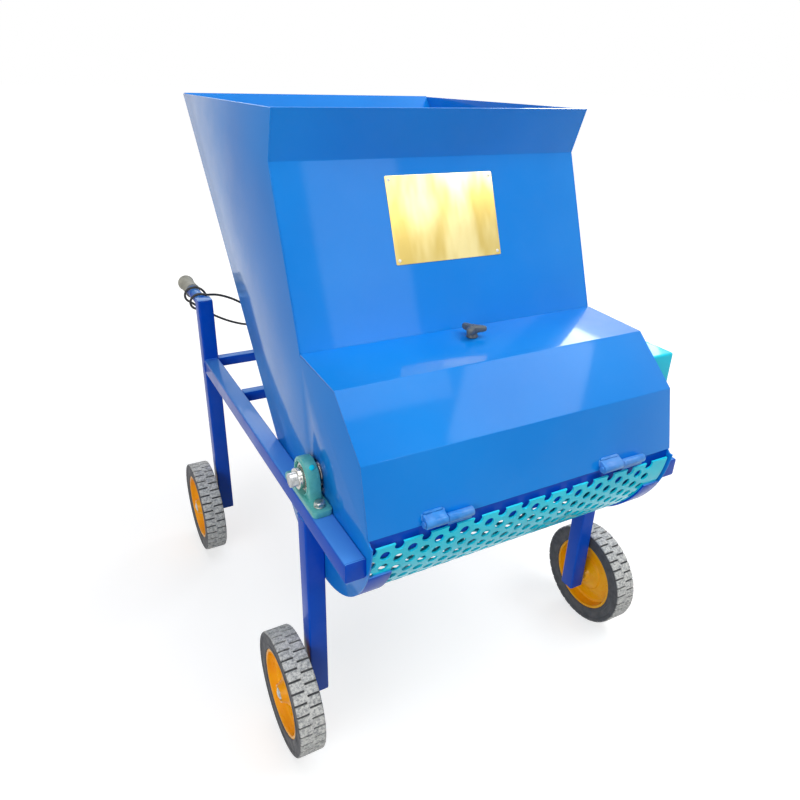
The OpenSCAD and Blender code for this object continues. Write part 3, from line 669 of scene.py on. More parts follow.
@dataclass(frozen=True)
class Rubber:
    """Cured black or grey rubber: dull, slightly bloomed, with a pebbled mould skin.

    Where dust is named, it lies where the piece's own "worn" attribute is 1.
    """

    name: str
    colour: str
    shade: str
    roughness: float = 0.62
    pebble_mm: float = 1.8
    pebble_depth: float = 0.1
    dust: str = ""
    dust_shade: str = ""

    def material(self) -> bpy.types.Material:
        """Builds the material."""
        bench = Bench(bpy.data.materials.new(self.name))
        bench.set(IOR=1.52)
        bloom = bench.noise(24.0, 5.0, 0.65)
        pebble = bench.noise(self.pebble_mm, 3.0)
        base = bench.mottled(bloom, 0.35, 0.7, self.colour, self.shade)
        if self.dust:
            spots = bench.mottled(bench.noise(6.0, 8.0, 0.75), 0.44, 0.6, self.dust, self.dust_shade)
            worn = add(bench.tree, "ShaderNodeAttribute", {"attribute_name": "worn"}).outputs["Fac"]
            base = bench.blend(worn, base, spots)
        bench.join(Base_Color=base,
                   Roughness=bench.span(bloom, 0.35, 0.7, self.roughness - 0.08, self.roughness + 0.16),
                   Normal=bench.bump(pebble, self.pebble_depth, 0.7))
        return bench.material


@dataclass(frozen=True)
class BrassSheet:
    """Bright brass-coloured sheet under a thin lacquer.

    It is thin and drawn by its rivets: it mirrors the light in upright wavy streaks, and paler colour
    streaks paint a reflection.
    """

    name: str
    colour: str
    shade: str

    def material(self) -> bpy.types.Material:
        """Builds the material."""
        bench = Bench(bpy.data.materials.new(self.name))
        bench.set(Metallic=1.0, Coat_Weight=0.2, Coat_Roughness=0.12)
        streak = bench.noise(46.0, 2.0, 0.5, (1.0, 0.3, 0.3))
        brush = bench.noise(1.4, 3.0, 0.6, (1.0, 0.1, 0.1))
        # Painted reflection: the colour goes paler along the same upright streaks that make the waves.
        base = bench.mottled(streak, 0.4, 0.64, self.colour, self.shade)
        bench.join(Base_Color=base, Roughness=bench.span(brush, 0.3, 0.7, 0.28, 0.44),
                   Normal=bench.bump(streak, 2.6, 0.9, bench.bump(brush, 0.02, 0.5)))
        return bench.material


FINISHES: dict[str, Any] = {
    "body_paint": Enamel("blue_enamel_on_sheet", "0A86E2", "087EDA"),
    "hinge_paint": Enamel("blue_enamel_over_welds", "3F92E0", "2C7FD2", waves_mm=16.0, wave_depth=0.4,
                          dust_share=0.25, roughness=0.36),
    # The frame's faces that look up carry a painted highlight in a lighter blue.
    "frame_paint": Enamel("deep_blue_enamel_on_tube", "0050C8", "0049BE", waves_mm=120.0, wave_depth=0.15,
                          dust_share=0.04, shine=0.3, painted_top_light="5098E8"),
    "screen_paint": Enamel("cyan_enamel_on_screen", "16E2FA", "12D6F0", waves_mm=60.0, wave_depth=0.12,
                           dust_share=0.1),
    "guard_paint": Enamel("cyan_enamel_on_guard", "08DAF2", "07D0EA", waves_mm=160.0, wave_depth=0.4),
    "housing_paint": CastEnamel("green_enamel_on_cast_iron", "5CBAB6", "4CA6A2"),
    "bearing_steel": Metal("ground_bearing_steel", "D4D2CC", "B4B3AE", Pattern.TURNED, 0.22),
    "zinc": Metal("zinc_plated_steel", "C9CBC8", "A9ACA8", Pattern.PLATED, 0.3),
    "shaft_steel": Metal("turned_shaft_steel", "C8CACB", "A4A7A8", Pattern.TURNED, 0.26),
    "rotor_steel": Metal("hot_rolled_disc_steel", "8E9399", "6E7379", Pattern.SCALE, 0.42),
    "hammer_steel": Metal("worn_hammer_steel", "868B90", "6A6F75", Pattern.GROUND, 0.38),
    "pulley_iron": Metal("machined_grey_iron", "6D7175", "53575B", Pattern.TURNED, 0.38),
    "belt_rubber": Rubber("belt_rubber_and_cord", "1C1D1F", "26272A", pebble_mm=1.2),
    "motor_paint": CastEnamel("blue_grey_enamel_on_aluminium", "5A6F86", "50657C", grit_mm=1.0),
    "cover_paint": CastEnamel("blue_grey_enamel_on_cover", "5A6F86", "546980", grit_mm=0.8, shine=0.5),
    "fan_plastic": Moulded("glass_filled_nylon", "2A2B2D", "232426", 0.5),
    "box_plastic": Moulded("terminal_box_abs", "34373B", "2D3034", 0.42),
    "gland_plastic": Moulded("gland_nylon", "1E1F21", "252628", 0.38),
    "cable_rubber": Rubber("cable_rubber", "17181A", "202123", 0.5, pebble_mm=1.0, pebble_depth=0.03),
    "plug_rubber": Moulded("plug_rubber", "1B1C1E", "232427", 0.5, grain_mm=0.7),
    "switch_plastic": Moulded("switch_polycarbonate", "C4201C", "B31B18", 0.25),
    "knob_plastic": Moulded("knob_bakelite", "5E666B", "4C5358", 0.3, scuff="9AA5AB", scuff_share=0.5),
    "grip_rubber": Rubber("grip_rubber", "B3B1A4", "9C9A8E", 0.7, pebble_mm=1.4),
    # The paler second gold is a painted reflection, laid in upright streaks.
    "plate_brass": BrassSheet("lacquered_brass_sheet", "D4BC6C", "ECDD9E"),
    "rivet_paint": Moulded("white_rivet_caps", "F2F2EE", "E4E4DE", 0.3, scuff_share=0.1),
    "tyre_rubber": Rubber("tyre_rubber", "4B4C50", "3B3D42", 0.66, pebble_mm=2.2, dust="D8D8D4",
                          dust_shade="8E9092"),
    "rim_plastic": Moulded("orange_polypropylene", "FFB60C", "FBA808", 0.3, scuff="F0B850",
                           scuff_share=0.25),
}


# The workshop -----------------------------------------------------------------------


@dataclass
class Workshop:
    """Makes pieces from skins, dresses them, and puts each on its body."""

    materials: dict[str, bpy.types.Material] = field(default_factory=dict)
    made: int = 0

    def finish_of(self, slot: str) -> bpy.types.Material:
        """The material of a slot, built when it is first asked for."""
        if slot not in self.materials:
            self.materials[slot] = FINISHES[slot].material()
        return self.materials[slot]

    def piece(self, name: str, skin: Skin, slot: str, body: Body | str, replaces: Sequence[str] = (),
              sharp: float = 32.0, closed: bool = True) -> bpy.types.Object:
        """Makes one piece of the machine.

        Args:
            name: the piece's name.
            skin: its shape, in millimetres.
            slot: the record's material slot that it takes its finish from.
            body: the body that it rides on.
            replaces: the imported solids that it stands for.
            sharp: edges that turn by more than this many degrees stay crisp.
            closed: the skin is made of closed shells, whose faces are then turned outwards.

        Returns:
            The object, which sits at the origin with its place in its mesh.
        """
        mesh = bpy.data.meshes.new(name)
        faces = [face for block in skin.faces for face in block.tolist()]
        mesh.from_pydata((skin.points / MM_PER_M).tolist(), [], faces)
        work = bmesh.new()
        work.from_mesh(mesh)
        bmesh.ops.remove_doubles(work, verts=work.verts, dist=MERGE_DIST)
        bmesh.ops.dissolve_degenerate(work, edges=work.edges, dist=MERGE_DIST / 2)
        if closed:
            bmesh.ops.recalc_face_normals(work, faces=work.faces)
        self.shade(work, sharp)
        work.to_mesh(mesh)
        work.free()
        return self.dress(bpy.data.objects.new(name, mesh), slot, body, replaces)

    def shade(self, work: bmesh.types.BMesh, sharp: float) -> None:
        """Smooths every face and keeps the edges that turn by more than sharp degrees."""
        limit = math.radians(sharp)
        for face in work.faces:
            face.smooth = True
        for edge in work.edges:
            edge.smooth = edge.is_manifold and edge.calc_face_angle(0.0) < limit

    def dress(self, thing: bpy.types.Object, slot: str, body: Body | str,
              replaces: Sequence[str] = ()) -> bpy.types.Object:
        """Gives an object its material, its body and the solids that it stands for."""
        thing.data.materials.clear()
        thing.data.materials.append(self.finish_of(slot))
        bpy.context.scene.collection.objects.link(thing)
        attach(thing, body.value if isinstance(body, Body) else body)
        if replaces:
            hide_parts(*replaces)
        self.made += 1
        LOG.info("piece %s on %s, %d faces", thing.name, body, len(thing.data.polygons))
        return thing

    def softened(self, node: str, slot: str, body: Body | str, edge: float = 0.6,
                 name: Optional[str] = None, sharp: float = 30.0) -> bpy.types.Object:
        """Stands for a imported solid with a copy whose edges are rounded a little.

        The copy's doubles are merged, its flat faces made whole again, and every edge that
        turns by more than 30 degrees gets a round of the given radius in two steps.

        Args:
            node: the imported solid.
            slot: the record's material slot.
            body: the body that it rides on.
            edge: radius of the rounded edges.
            name: the new piece's name, or none to add _soft to the solid's.
            sharp: edges that still turn by more than this many degrees stay crisp.

        Returns:
            The piece.
        """
        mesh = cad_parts[node].data.copy()
        mesh.name = name or node + "_soft"
        work = bmesh.new()
        work.from_mesh(mesh)
        bmesh.ops.remove_doubles(work, verts=work.verts, dist=MERGE_DIST)
        bmesh.ops.dissolve_limit(work, angle_limit=FLAT_TURN, verts=work.verts, edges=work.edges)
        bmesh.ops.recalc_face_normals(work, faces=work.faces)
        turning = [e for e in work.edges if e.is_manifold and e.calc_face_angle(0.0) > CORNER_TURN]
        if edge > 0 and turning:
            bmesh.ops.bevel(work, geom=turning, offset=edge / MM_PER_M, offset_type="OFFSET", segments=2,
                            profile=0.5, affect="EDGES", clamp_overlap=True)
            bmesh.ops.recalc_face_normals(work, faces=work.faces)
        self.shade(work, sharp)
        clean = bpy.data.meshes.new(mesh.name)
        work.to_mesh(clean)
        work.free()
        bpy.data.meshes.remove(mesh)
        return self.dress(bpy.data.objects.new(name or node + "_soft", clean), slot, body, [node])


# The studio -------------------------------------------------------------------------


@dataclass
class Studio:
    """Camera, floor and soft lamps."""

    camera_at: tuple[float, float, float] = (-730.9, -1379.4, 1342.4)
    azimuth: float = -28.97
    elevation: float = 26.10
    roll: float = 1.666
    focal_px: float = 660.79
    frame_px: float = 800.0
    sensor: float = 36.0
    floor_half: float = 60.0
    floor_white: float = 0.66
    far_white: float = 0.96
    lit_floor: tuple[float, float] = (1.6, 5.0)
    surround: float = 0.12

    def shown(self, tree: bpy.types.NodeTree) -> Any:
        """1 for a camera, glossy or transmission ray: the picture and every mirror meet the same white."""
        path, highest = add(tree, "ShaderNodeLightPath").outputs, {"operation": "MAXIMUM"}
        seen = add(tree, "ShaderNodeMath", highest, {0: path["Is Camera Ray"], 1: path["Is Glossy Ray"]})
        return add(tree, "ShaderNodeMath", highest,
                   {0: seen.outputs[0], 1: path["Is Transmission Ray"]}).outputs[0]

    def set_camera(self) -> None:
        """Places the camera where the photograph was taken from, as its straight edges gave it."""
        a, e, r = (math.radians(v) for v in (self.azimuth, self.elevation, self.roll))
        back = np.array([math.sin(a) * math.cos(e), -math.cos(a) * math.cos(e), math.sin(e)])
        right = np.array([math.cos(a), math.sin(a), 0.0])
        up = np.cross(back, right)
        right2, up2 = right * math.cos(r) + up * math.sin(r), up * math.cos(r) - right * math.sin(r)
        data = bpy.data.cameras.new("studio_camera")
        data.sensor_width = self.sensor
        data.lens = self.focal_px * self.sensor / self.frame_px
        data.clip_start, data.clip_end = 0.05, 400.0
        camera = bpy.data.objects.new("studio_camera", data)
        place = np.eye(4)
        place[:3, :3] = np.column_stack([right2, up2, back])
        place[:3, 3] = np.array(self.camera_at) / MM_PER_M
        camera.matrix_world = Matrix(place.tolist())
        bpy.context.scene.collection.objects.link(camera)
        bpy.context.scene.camera = camera

    def lay_floor(self) -> None:
        """A matt white floor that keeps the machine's shadow.

        Seen directly or in a mirror it has a white of its own, which grows with the distance
        from the machine as the lamps' light falls off, so that the floor stays one white.
        """
        half = self.floor_half
        corners = [(-half, -half, 0.0), (half, -half, 0.0), (half, half, 0.0), (-half, half, 0.0)]
        mesh = bpy.data.meshes.new("studio_floor")
        mesh.from_pydata(corners, [], [(0, 1, 2, 3)])
        material = bpy.data.materials.new("matt_white_floor")
        bench = Bench(material)
        bench.set(Base_Color=linear("B8B8B8"), Roughness=0.85, Specular_IOR_Level=0.0,
                  Emission_Color=(1.0, 1.0, 1.0, 1.0))
        place = add(bench.tree, "ShaderNodeTexCoord").outputs["Object"]
        away = add(bench.tree, "ShaderNodeVectorMath", {"operation": "LENGTH"}, {0: place}).outputs["Value"]
        near, far = self.lit_floor
        white = bench.span(away, near, far, self.floor_white, self.far_white)
        own = add(bench.tree, "ShaderNodeMath", {"operation": "MULTIPLY"},
                  {0: self.shown(bench.tree), 1: white})
        bench.join(Emission_Strength=own.outputs[0])
        mesh.materials.append(material)
        floor = bpy.data.objects.new("studio_floor", mesh)
        bpy.context.scene.collection.objects.link(floor)

    def lamp(self, name: str, at: tuple[float, float, float], size: tuple[float, float], watts: float,
             aim: tuple[float, float, float] = (0.0, 0.0, 0.7)) -> None:
        """One soft box, in metres, that faces a point of the machine."""
        data = bpy.data.lights.new(name, "AREA")
        data.shape = "RECTANGLE"
        data.size, data.size_y, data.energy = size[0], size[1], watts
        lamp = bpy.data.objects.new(name, data)
        lamp.location = at
        way = Vector(aim) - Vector(at)
        lamp.rotation_euler = way.to_track_quat("-Z", "Y").to_euler()
        bpy.context.scene.collection.objects.link(lamp)

    def light(self) -> None:
        """A white surround and six soft boxes.

        One stands where the front wall mirrors it, one where the hood's slope does, and one
        where the right part of the hood's top does. The others light the rear, the left side
        and the faces that look up.
        """
        world = bpy.data.worlds.new("studio_surround")
        bpy.context.scene.world = world
        world.use_nodes = True
        tree = world.node_tree
        tree.nodes.clear()
        strength = add(tree, "ShaderNodeMapRange", {"To Min": self.surround, "To Max": 1.0},
                       {"Value": self.shown(tree)})
        back = add(tree, "ShaderNodeBackground", {"Color": (1.0, 1.0, 1.0, 1.0)},
                   {"Strength": strength.outputs["Result"]})
        add(tree, "ShaderNodeOutputWorld", links={"Surface": back.outputs["Background"]})
        self.lamp("soft_box_wall", (0.7, -3.9, 3.2), (1.7, 1.5), 24.0, (-0.2, -0.25, 1.1))
        self.lamp("soft_box_slope", (2.36, -1.78, 3.8), (2.8, 1.8), 74.0, (0.0, -0.52, 0.83))
        self.lamp("soft_box_hood", (2.87, 1.98, 2.28), (1.3, 1.0), 30.0, (0.25, -0.39, 0.88))
        self.lamp("soft_box_rear", (0.71, 3.7, 2.8), (2.6, 1.4), 40.0, (-0.37, -0.1, 0.62))
        self.lamp("soft_box_left", (-3.6, -2.4, 1.9), (2.6, 2.2), 84.0)
        self.lamp("soft_box_top", (0.0, -0.6, 4.8), (3.0, 3.0), 86.0)
        bpy.context.scene.view_settings.view_transform = "Standard"

    def build(self) -> None:
        """Sets the camera first, then floor and lamps."""
        self.set_camera()
        self.lay_floor()
        self.light()


# The machine's parts ----------------------------------------------------------------


@dataclass
class PowerCable:
    """The rubber cable: from the gland round the left handle, and across to a coil on the right one.

    A winding or coil is given by its middle, its radius, how far each loop moves along, and
    the angles in degrees that it runs from and to.
    """

    radius: float = 3.25
    gland_exit: tuple[float, float, float] = (150.0, 253.0, 837.0)
    winding: tuple = ((-RAIL_X, 518.0, 765.65), 26.0, -70.0, 595.0, 75.0)
    coil: tuple = ((RAIL_X, 447.0, 755.65), 36.0, 7.2, 2285.0, 0.0)
    rings: int = 60
    run_in: tuple = ((136, 253, 837), (98, 257, 836), (61, 268, 831), (26, 287, 818), (-6, 312, 797),
                     (-37, 341, 770), (-66, 371, 741), (-96, 402, 713), (-127, 433, 690), (-159, 463, 671),
                     (-193, 489, 659), (-227, 508, 655), (-256, 519, 661), (-287, 524, 674),
                     (-319, 524, 693), (-350, 524, 716))
    run_across: tuple = ((-325, 416, 785), (-290, 418, 771), (-256, 420, 750), (-224, 419, 725),
                         (-193, 418, 699), (-160, 417, 676), (-124, 416, 659), (-85, 416, 649),
                         (-45, 416, 645), (-5, 416, 646), (35, 417, 650), (75, 418, 658), (114, 420, 669),
                         (152, 423, 683), (189, 427, 698), (225, 431, 715), (260, 436, 732),
                         (294, 441, 750), (326, 445, 769))
    tail: tuple = ((405, 493, 715), (404, 493, 680), (404, 493, 650))
    pin_x: float = 9.5

    def helix(self, mid: Sequence[float], r: float, step: float, a0: float, a1: float) -> np.ndarray:
        """Loops about a line along Y, with a straight end of one cable's width each way.

        Args:
            mid: the centre of the first loop.
            r: radius of the loops.
            step: how far each loop moves along.
            a0: angle at its start in degrees.
            a1: angle at its end, smaller than a0.

        Returns:
            The points mid + (r cos(a0 - t), step t / 360, r sin(a0 - t)).
        """
        t = np.linspace(0.0, a0 - a1, int(round(self.rings * (a0 - a1) / 360)) + 1)
        a = np.radians(a0 - t)
        loops = np.array(mid) + np.column_stack([r * np.cos(a), step * t / 360, r * np.sin(a)])
        first, last = loops[1] - loops[0], loops[-1] - loops[-2]
        reach = 2 * self.radius
        return np.concatenate([[loops[0] - reach * first / np.linalg.norm(first)], loops,
                               [loops[-1] + reach * last / np.linalg.norm(last)]])

    def smooth(self, points: np.ndarray, steps: int = 6) -> np.ndarray:
        """A cubic through the points, its slope at each half the way between that point's neighbours."""
        p = np.concatenate([[2 * points[0] - points[1]], points, [2 * points[-1] - points[-2]]])
        s = np.linspace(0.0, 1.0, steps, endpoint=False)[None, :, None]
        a, b, c, d = (p[k:len(p) - 3 + k][:, None, :] for k in range(4))
        curve = 0.5 * (2 * b + (c - a) * s + (2 * a - 5 * b + 4 * c - d) * s ** 2
                       + (3 * b - a - 3 * c + d) * s ** 3)
        return np.concatenate([curve.reshape(-1, 3), points[-1:]])

    def path(self) -> np.ndarray:
        """The whole route, from the gland to the plug."""
        winding, coil = self.helix(*self.winding), self.helix(*self.coil)
        first = self.smooth(np.array([self.gland_exit, *self.run_in, winding[0]], float))
        middle = self.smooth(np.array([winding[-1], *self.run_across, coil[0]], float))
        last = self.smooth(np.array([coil[-1], *self.tail], float))
        return np.concatenate([first, winding[1:], middle[1:], coil[1:], last[1:]])

    def plug(self, shop: Workshop) -> bpy.types.Object:
        """A two-pin plug that hangs on the cable's end, with a ribbed relief and finger grooves."""
        relief = [(0, 4.0), (0.5, 4.6)]
        for k in range(6):
            r = 4.6 + 0.4 * k
            relief += [(1 + 4 * k, r), (3 + 4 * k, r), (3.4 + 4 * k, r - 0.8), (4.6 + 4 * k, r - 0.8)]
        shell = soft_profile([(22, 5.5), (23.5, 11.5), (34, 18), (54, 18), (54, 3)], 2.2, ring=False)
        body = lathe([*relief[1:], *shell.tolist()], 72)
        angle = np.arctan2(body.points[:, 1], body.points[:, 0])
        depth = 0.9 * (0.5 + 0.5 * np.cos(12 * angle)) * np.clip((body.points[:, 2] - 30) / 6, 0, 1)
        r = np.hypot(body.points[:, 0], body.points[:, 1])
        squeeze = np.where(r > 15, (r - depth) / np.maximum(r, 1e-6), 1.0)
        body.points[:, :2] *= squeeze[:, None]
        half_turn = np.diag([1.0, -1.0, -1.0])

        def hung(*skins: Skin) -> Skin:
            """Skins drawn upwards from the cable's end, turned over and hung from it."""
            return joined(skins).turned(half_turn).shifted(*self.tail[-1])

        shell_piece = shop.piece("plug_shell", hung(body), "plug_rubber", Body.CHASSIS, ["plug"])
        for name, slot, profile in (
                ("plug_pins", "bearing_steel", [(52, 2.4), (71.4, 2.4), (72.4, 1.9), (72.9, 0.9)]),
                ("plug_collars", "plug_rubber", [(54, 3.6), (56, 3.6), (56.4, 3.2)])):
            pair = [lathe(profile, 24).shifted(x=x) for x in (-self.pin_x, self.pin_x)]
            shop.piece(name, hung(*pair), slot, Body.CHASSIS)
        return shell_piece

    def build(self, shop: Workshop) -> None:
        path = self.path()
        cable = shop.piece("power_cable", tube(path, self.radius, 12), "cable_rubber", Body.CHASSIS,
                           ["cable_runs", "cable_winding", "cable_coil"], sharp=60)
        plug = self.plug(shop)


@dataclass
class Hopper:
    """Side plates, sloping rear wall and front wall with its flared lip.

    The stitch welds on the rear wall are given by where the first one starts, their pitch,
    their length, and how far they stand in front of the wall's rear line.
    """

    inner_x: float = 347.0
    sheet: float = 3.0
    rear_line: tuple = ((-145.0, 607.0), (464.0, 1290.0))
    front_line: tuple = ((-214.0, 1290.0), WALL_KNEE, WALL_FOOT, (-342.0, 874.0))
    stitches: int = 6
    stitch: tuple[float, float, float, float] = (60.0, 145.0, 42.0, 3.6)
    rear_weld_x: float = 346.2
    front_weld_x: float = 346.4

    def front_wall(self, shop: Workshop) -> None:
        """The front wall, folded at the lip and at its foot."""
        outline = fold_section(self.front_line, -self.sheet, 4.0)
        skin = prism(outline, -self.inner_x, self.inner_x, 0.4).along(Axis.X)
        shop.piece("front_wall_sheet", skin, "body_paint", Body.CHASSIS, ["hopper_front_wall"])

    def seams(self, shop: Workshop) -> None:
        """Stitch welds inside the hopper, where its walls meet the side plates."""
        low, high = (np.array(p) for p in self.rear_line)
        beads, run = [], high - low
        length = float(np.linalg.norm(run))
        way = run / length
        out = np.array([way[1], -way[0]])
        start, pitch, stitch, lift = self.stitch
        top, knee, foot = (np.array(p) for p in self.front_line[:3])
        drop, inside = foot - knee, np.array([3.4, -1.2])
        front = ((top, knee), (knee, knee + drop * 0.34), (knee + drop * 0.5, knee + drop * 0.9))
        for side in (-1, 1):
            x = side * self.rear_weld_x
            for k in range(self.stitches):
                s0 = start + k * pitch
                a, b = low + way * s0 - out * lift, low + way * (s0 + stitch) - out * lift
                beads.append(weld_bead((x, *a), (x, *b), 1.7, 10 * k + side + 3))
            x = side * self.front_weld_x
            for k, (p, q) in enumerate(front):
                beads.append(weld_bead((x, *(p + inside)), (x, *(q + inside)), 1.8, 90 + k))
        shop.piece("hopper_welds", joined(beads), "body_paint", Body.CHASSIS)

    def build(self, shop: Workshop) -> None:
        """Makes the hopper."""
        self.front_wall(shop)
        shop.softened("hopper_rear_wall", "body_paint", Body.CHASSIS, 0.5, "rear_wall_sheet")
        shop.softened("left_side_plate", "body_paint", Body.CHASSIS, 0.6, "left_plate_sheet")
        shop.softened("right_side_plate", "body_paint", Body.CHASSIS, 0.6, "right_plate_sheet")
        self.seams(shop)


@dataclass
class Nameplate:
    """Bare brass plate with a rivet in each corner."""

    width: float = 250.0
    height: float = 171.0
    thick: float = 1.0
    foot: tuple[float, float] = WALL_FOOT
    lip: tuple[float, float] = WALL_KNEE
    start: float = 143.0
    lift: float = 0.02
    rivet_in: float = 8.0

    def on_wall(self, skin: Skin) -> Skin:
        """Lays a skin drawn in x, height and lift on the sloping front wall."""
        way = np.array(self.lip) - np.array(self.foot)
        way = way / np.linalg.norm(way)
        matrix = np.array([[1, 0, 0], [0, way[0], -way[1]], [0, way[1], way[0]]], float)
        foot = np.array([0.0, self.foot[0] + self.start * way[0] - self.lift * way[1],
                         self.foot[1] + self.start * way[1] + self.lift * way[0]])
        return Skin(skin.points @ matrix.T + foot, skin.faces)

    def build(self, shop: Workshop) -> None:
        """Makes the plate and its four rivets."""
        outline = rectangle(self.width, self.height, 3.0) + np.array([0.0, self.height / 2])
        plate = self.on_wall(prism(outline, 0.0, self.thick, 0.3))
        shop.piece("brass_plate", plate, "plate_brass", Body.CHASSIS, ["nameplate"])
        head = lathe([(self.thick - 0.3, 3.4), (self.thick + 0.2, 3.4), (self.thick + 0.9, 2.6),
                      (self.thick + 1.2, 1.2)], 24)
        far_x = self.width / 2 - self.rivet_in
        spots = [(x, y) for x in (-far_x, far_x) for y in (self.rivet_in, self.height - self.rivet_in)]
        rivets = joined(self.on_wall(head.shifted(x, y)) for x, y in spots)
        shop.piece("plate_rivets", rivets, "rivet_paint", Body.CHASSIS, ["nameplate_rivets"])


@dataclass
class Hood:
    """Three-panel hood with its weld-on barrel hinges."""

    line: tuple = ((-308.0, 879.9), (-465.0, 873.0), (-568.0, 783.0), (-599.0, 657.0))
    sheet: float = 3.0
    half: float = 350.0
    latch_hole: float = 5.2
    latch_bore_z: tuple[float, float] = (855.0, 900.0)
    hinge: tuple[float, float] = (-607.0, 663.0)
    hood_barrels: tuple = ((-248.0, -204.0), (154.0, 204.0))
    fixed_barrels: tuple = ((-203.4, -151.0), (204.6, 262.0))
    bar_back: float = -596.0
    bar_top: float = 655.0

    def shell(self, shop: Workshop) -> None:
        """The folded sheet, with the hole for the latch's spindle bored through it."""
        outline = fold_section(self.line, -self.sheet, 5.0)
        skin = prism(outline, -self.half, self.half, 0.4).along(Axis.X)
        hood = shop.piece("hood_sheet", skin, "body_paint", Body.HOOD, ["hood"])
        drill = bpy.data.meshes.new("spindle_hole")
        bore = lathe([(z, self.latch_hole) for z in self.latch_bore_z], 32).shifted(*LATCH_AT)
        drill.from_pydata((bore.points / MM_PER_M).tolist(), [], [f for b in bore.faces for f in b.tolist()])
        cutter = bpy.data.objects.new("spindle_hole", drill)
        bpy.context.scene.collection.objects.link(cutter)
        cut = hood.modifiers.new("spindle_hole", "BOOLEAN")
        cut.operation, cut.solver, cut.object = "DIFFERENCE", "EXACT", cutter
        graph = bpy.context.evaluated_depsgraph_get()
        bored = bpy.data.meshes.new_from_object(hood.evaluated_get(graph), depsgraph=graph)
        hood.modifiers.clear()
        hood.data = bored
        bpy.data.objects.remove(cutter)

    def barrel(self, x0: float, x1: float, radius: float) -> Skin:
        """A weld-on barrel: a short tube with a rolled edge at each end and a pin hole through it."""
        e = 1.4
        profile = [(x0, 4.3), (x0, radius - e), (x0 + e * 0.4, radius - e * 0.3), (x0 + e, radius),
                   (x1 - e, radius), (x1 - e * 0.4, radius - e * 0.3), (x1, radius - e), (x1, 4.3)]
        y, z = self.hinge
        return lathe(profile, 40, ring=True).along(Axis.X).shifted(0, y, z)

    def hinges(self, shop: Workshop) -> None:
        """Barrels, pins, mounting wings and the rough welds that hold them."""
        y, z = self.hinge
        under, over = self.bar_top - 6, self.bar_top + 1
        bead_z, back, back_z = self.bar_top + 1.6, self.bar_back - 0.6, self.bar_top - 6.6
        foot, knee = np.array(self.line[3]), np.array(self.line[2])
        up = (knee - foot) / np.linalg.norm(knee - foot)
        moving, fixed, moving_welds, fixed_welds = [], [], [], []
        for k, ((a, b), (c, d)) in enumerate(zip(self.hood_barrels, self.fixed_barrels)):
            wing = rounded([(y - 2, z + 3), foot + 5 * up, foot + 21 * up, (y + 3, z + 11),
                            (y - 6, z + 7)], 2.0)
            block = rounded([(y - 2, under), (self.bar_back, under), (self.bar_back, over),
                             (y - 2, over)], 1.0)
            pin = lathe([(a - 4, 3.0), (a - 3.6, 5.4), (a - 2.8, 6.0), (a - 1.4, 6.0), (a - 1.0, 4.0),
                         (d - 0.9, 4.0), (d, 3.0)], 32).along(Axis.X).shifted(0, y, z)
            moving += [self.barrel(a, b, 9.0), prism(wing, a + 1, b - 1, 0.8).along(Axis.X)]
            fixed += [self.barrel(c, d, 8.6), prism(block, c + 2, d - 2, 0.6).along(Axis.X), pin]
            rise = foot + 21.5 * up + np.array([-1.2, 0.2])
            moving_welds.append(weld_bead((a + 3, *rise), (b - 3, *rise), 3.0, 40 + k))
            for x, seed in ((a + 0.6, 50), (b - 0.6, 52)):
                start, end = foot + 7 * up, foot + 21 * up
                moving_welds.append(weld_bead((x, *start), (x, *end), 2.2, seed + k))
            fixed_welds.append(weld_bead((c + 3, y + 8, bead_z), (d - 3, y + 8, bead_z), 2.2, 60 + k))
            fixed_welds.append(weld_bead((c + 3, back, back_z), (d - 3, back, back_z), 2.4, 70 + k))
        shop.piece("hood_barrels", joined(moving), "hinge_paint", Body.HOOD, ["hood_knuckles"])
        shop.piece("fixed_barrels", joined(fixed), "hinge_paint", Body.CHASSIS, ["fixed_knuckles"])
        shop.piece("hood_hinge_welds", joined(moving_welds), "hinge_paint", Body.HOOD)
        shop.piece("bar_hinge_welds", joined(fixed_welds), "hinge_paint", Body.CHASSIS)

    def build(self, shop: Workshop) -> None:
        """Makes the hood and its hinges."""
        self.shell(shop)
        self.hinges(shop)


@dataclass
class Latch:
    """Quarter-turn latch with its three-winged knob."""

    seat: float = 878.7
    wings: int = 3
    lean: float = 100.0

    def build(self, shop: Workshop) -> None:
        """Makes the knob and its spindle.

        The knob's outline is r = foot + reach ((1 + cos 3a) / 2) ^ 2.2, with the foot and the
        reach changing with height: a round post below, three wings above, and a domed top.
        """
        a = np.arange(96) * FULL_TURN / 96
        lobe = (0.5 + 0.5 * np.cos(self.wings * (a - math.radians(self.lean)))) ** 2.2
        rows = [(0.0, 9.5, 0.0), (0.3, 12.0, 0.0), (2.5, 11.6, 0.0), (7.5, 9.6, 0.0), (9.5, 9.8, 4.0),
                (10.6, 10.4, 14.0), (12.0, 11.0, 17.4), (15.5, 11.2, 18.0), (19.5, 11.0, 17.4),
                (21.4, 10.6, 15.6), (22.2, 10.0, 12.5), (22.8, 9.4, 6.0), (23.6, 8.4, 0.6), (24.0, 6.0, 0.0)]
        rings = [(foot + reach * lobe, np.full(len(a), h)) for h, foot, reach in rows]
        points = np.array([np.column_stack([r * np.cos(a), r * np.sin(a), h]) for r, h in rings])
        knob = grid_skin(points, caps=True).shifted(*LATCH_AT, self.seat)
        shop.piece("winged_knob", knob, "knob_plastic", Body.LATCH, ["latch_knob"], sharp=50)
        shop.softened("latch_spindle", "zinc", Body.LATCH, 0.5, "latch_tongue")


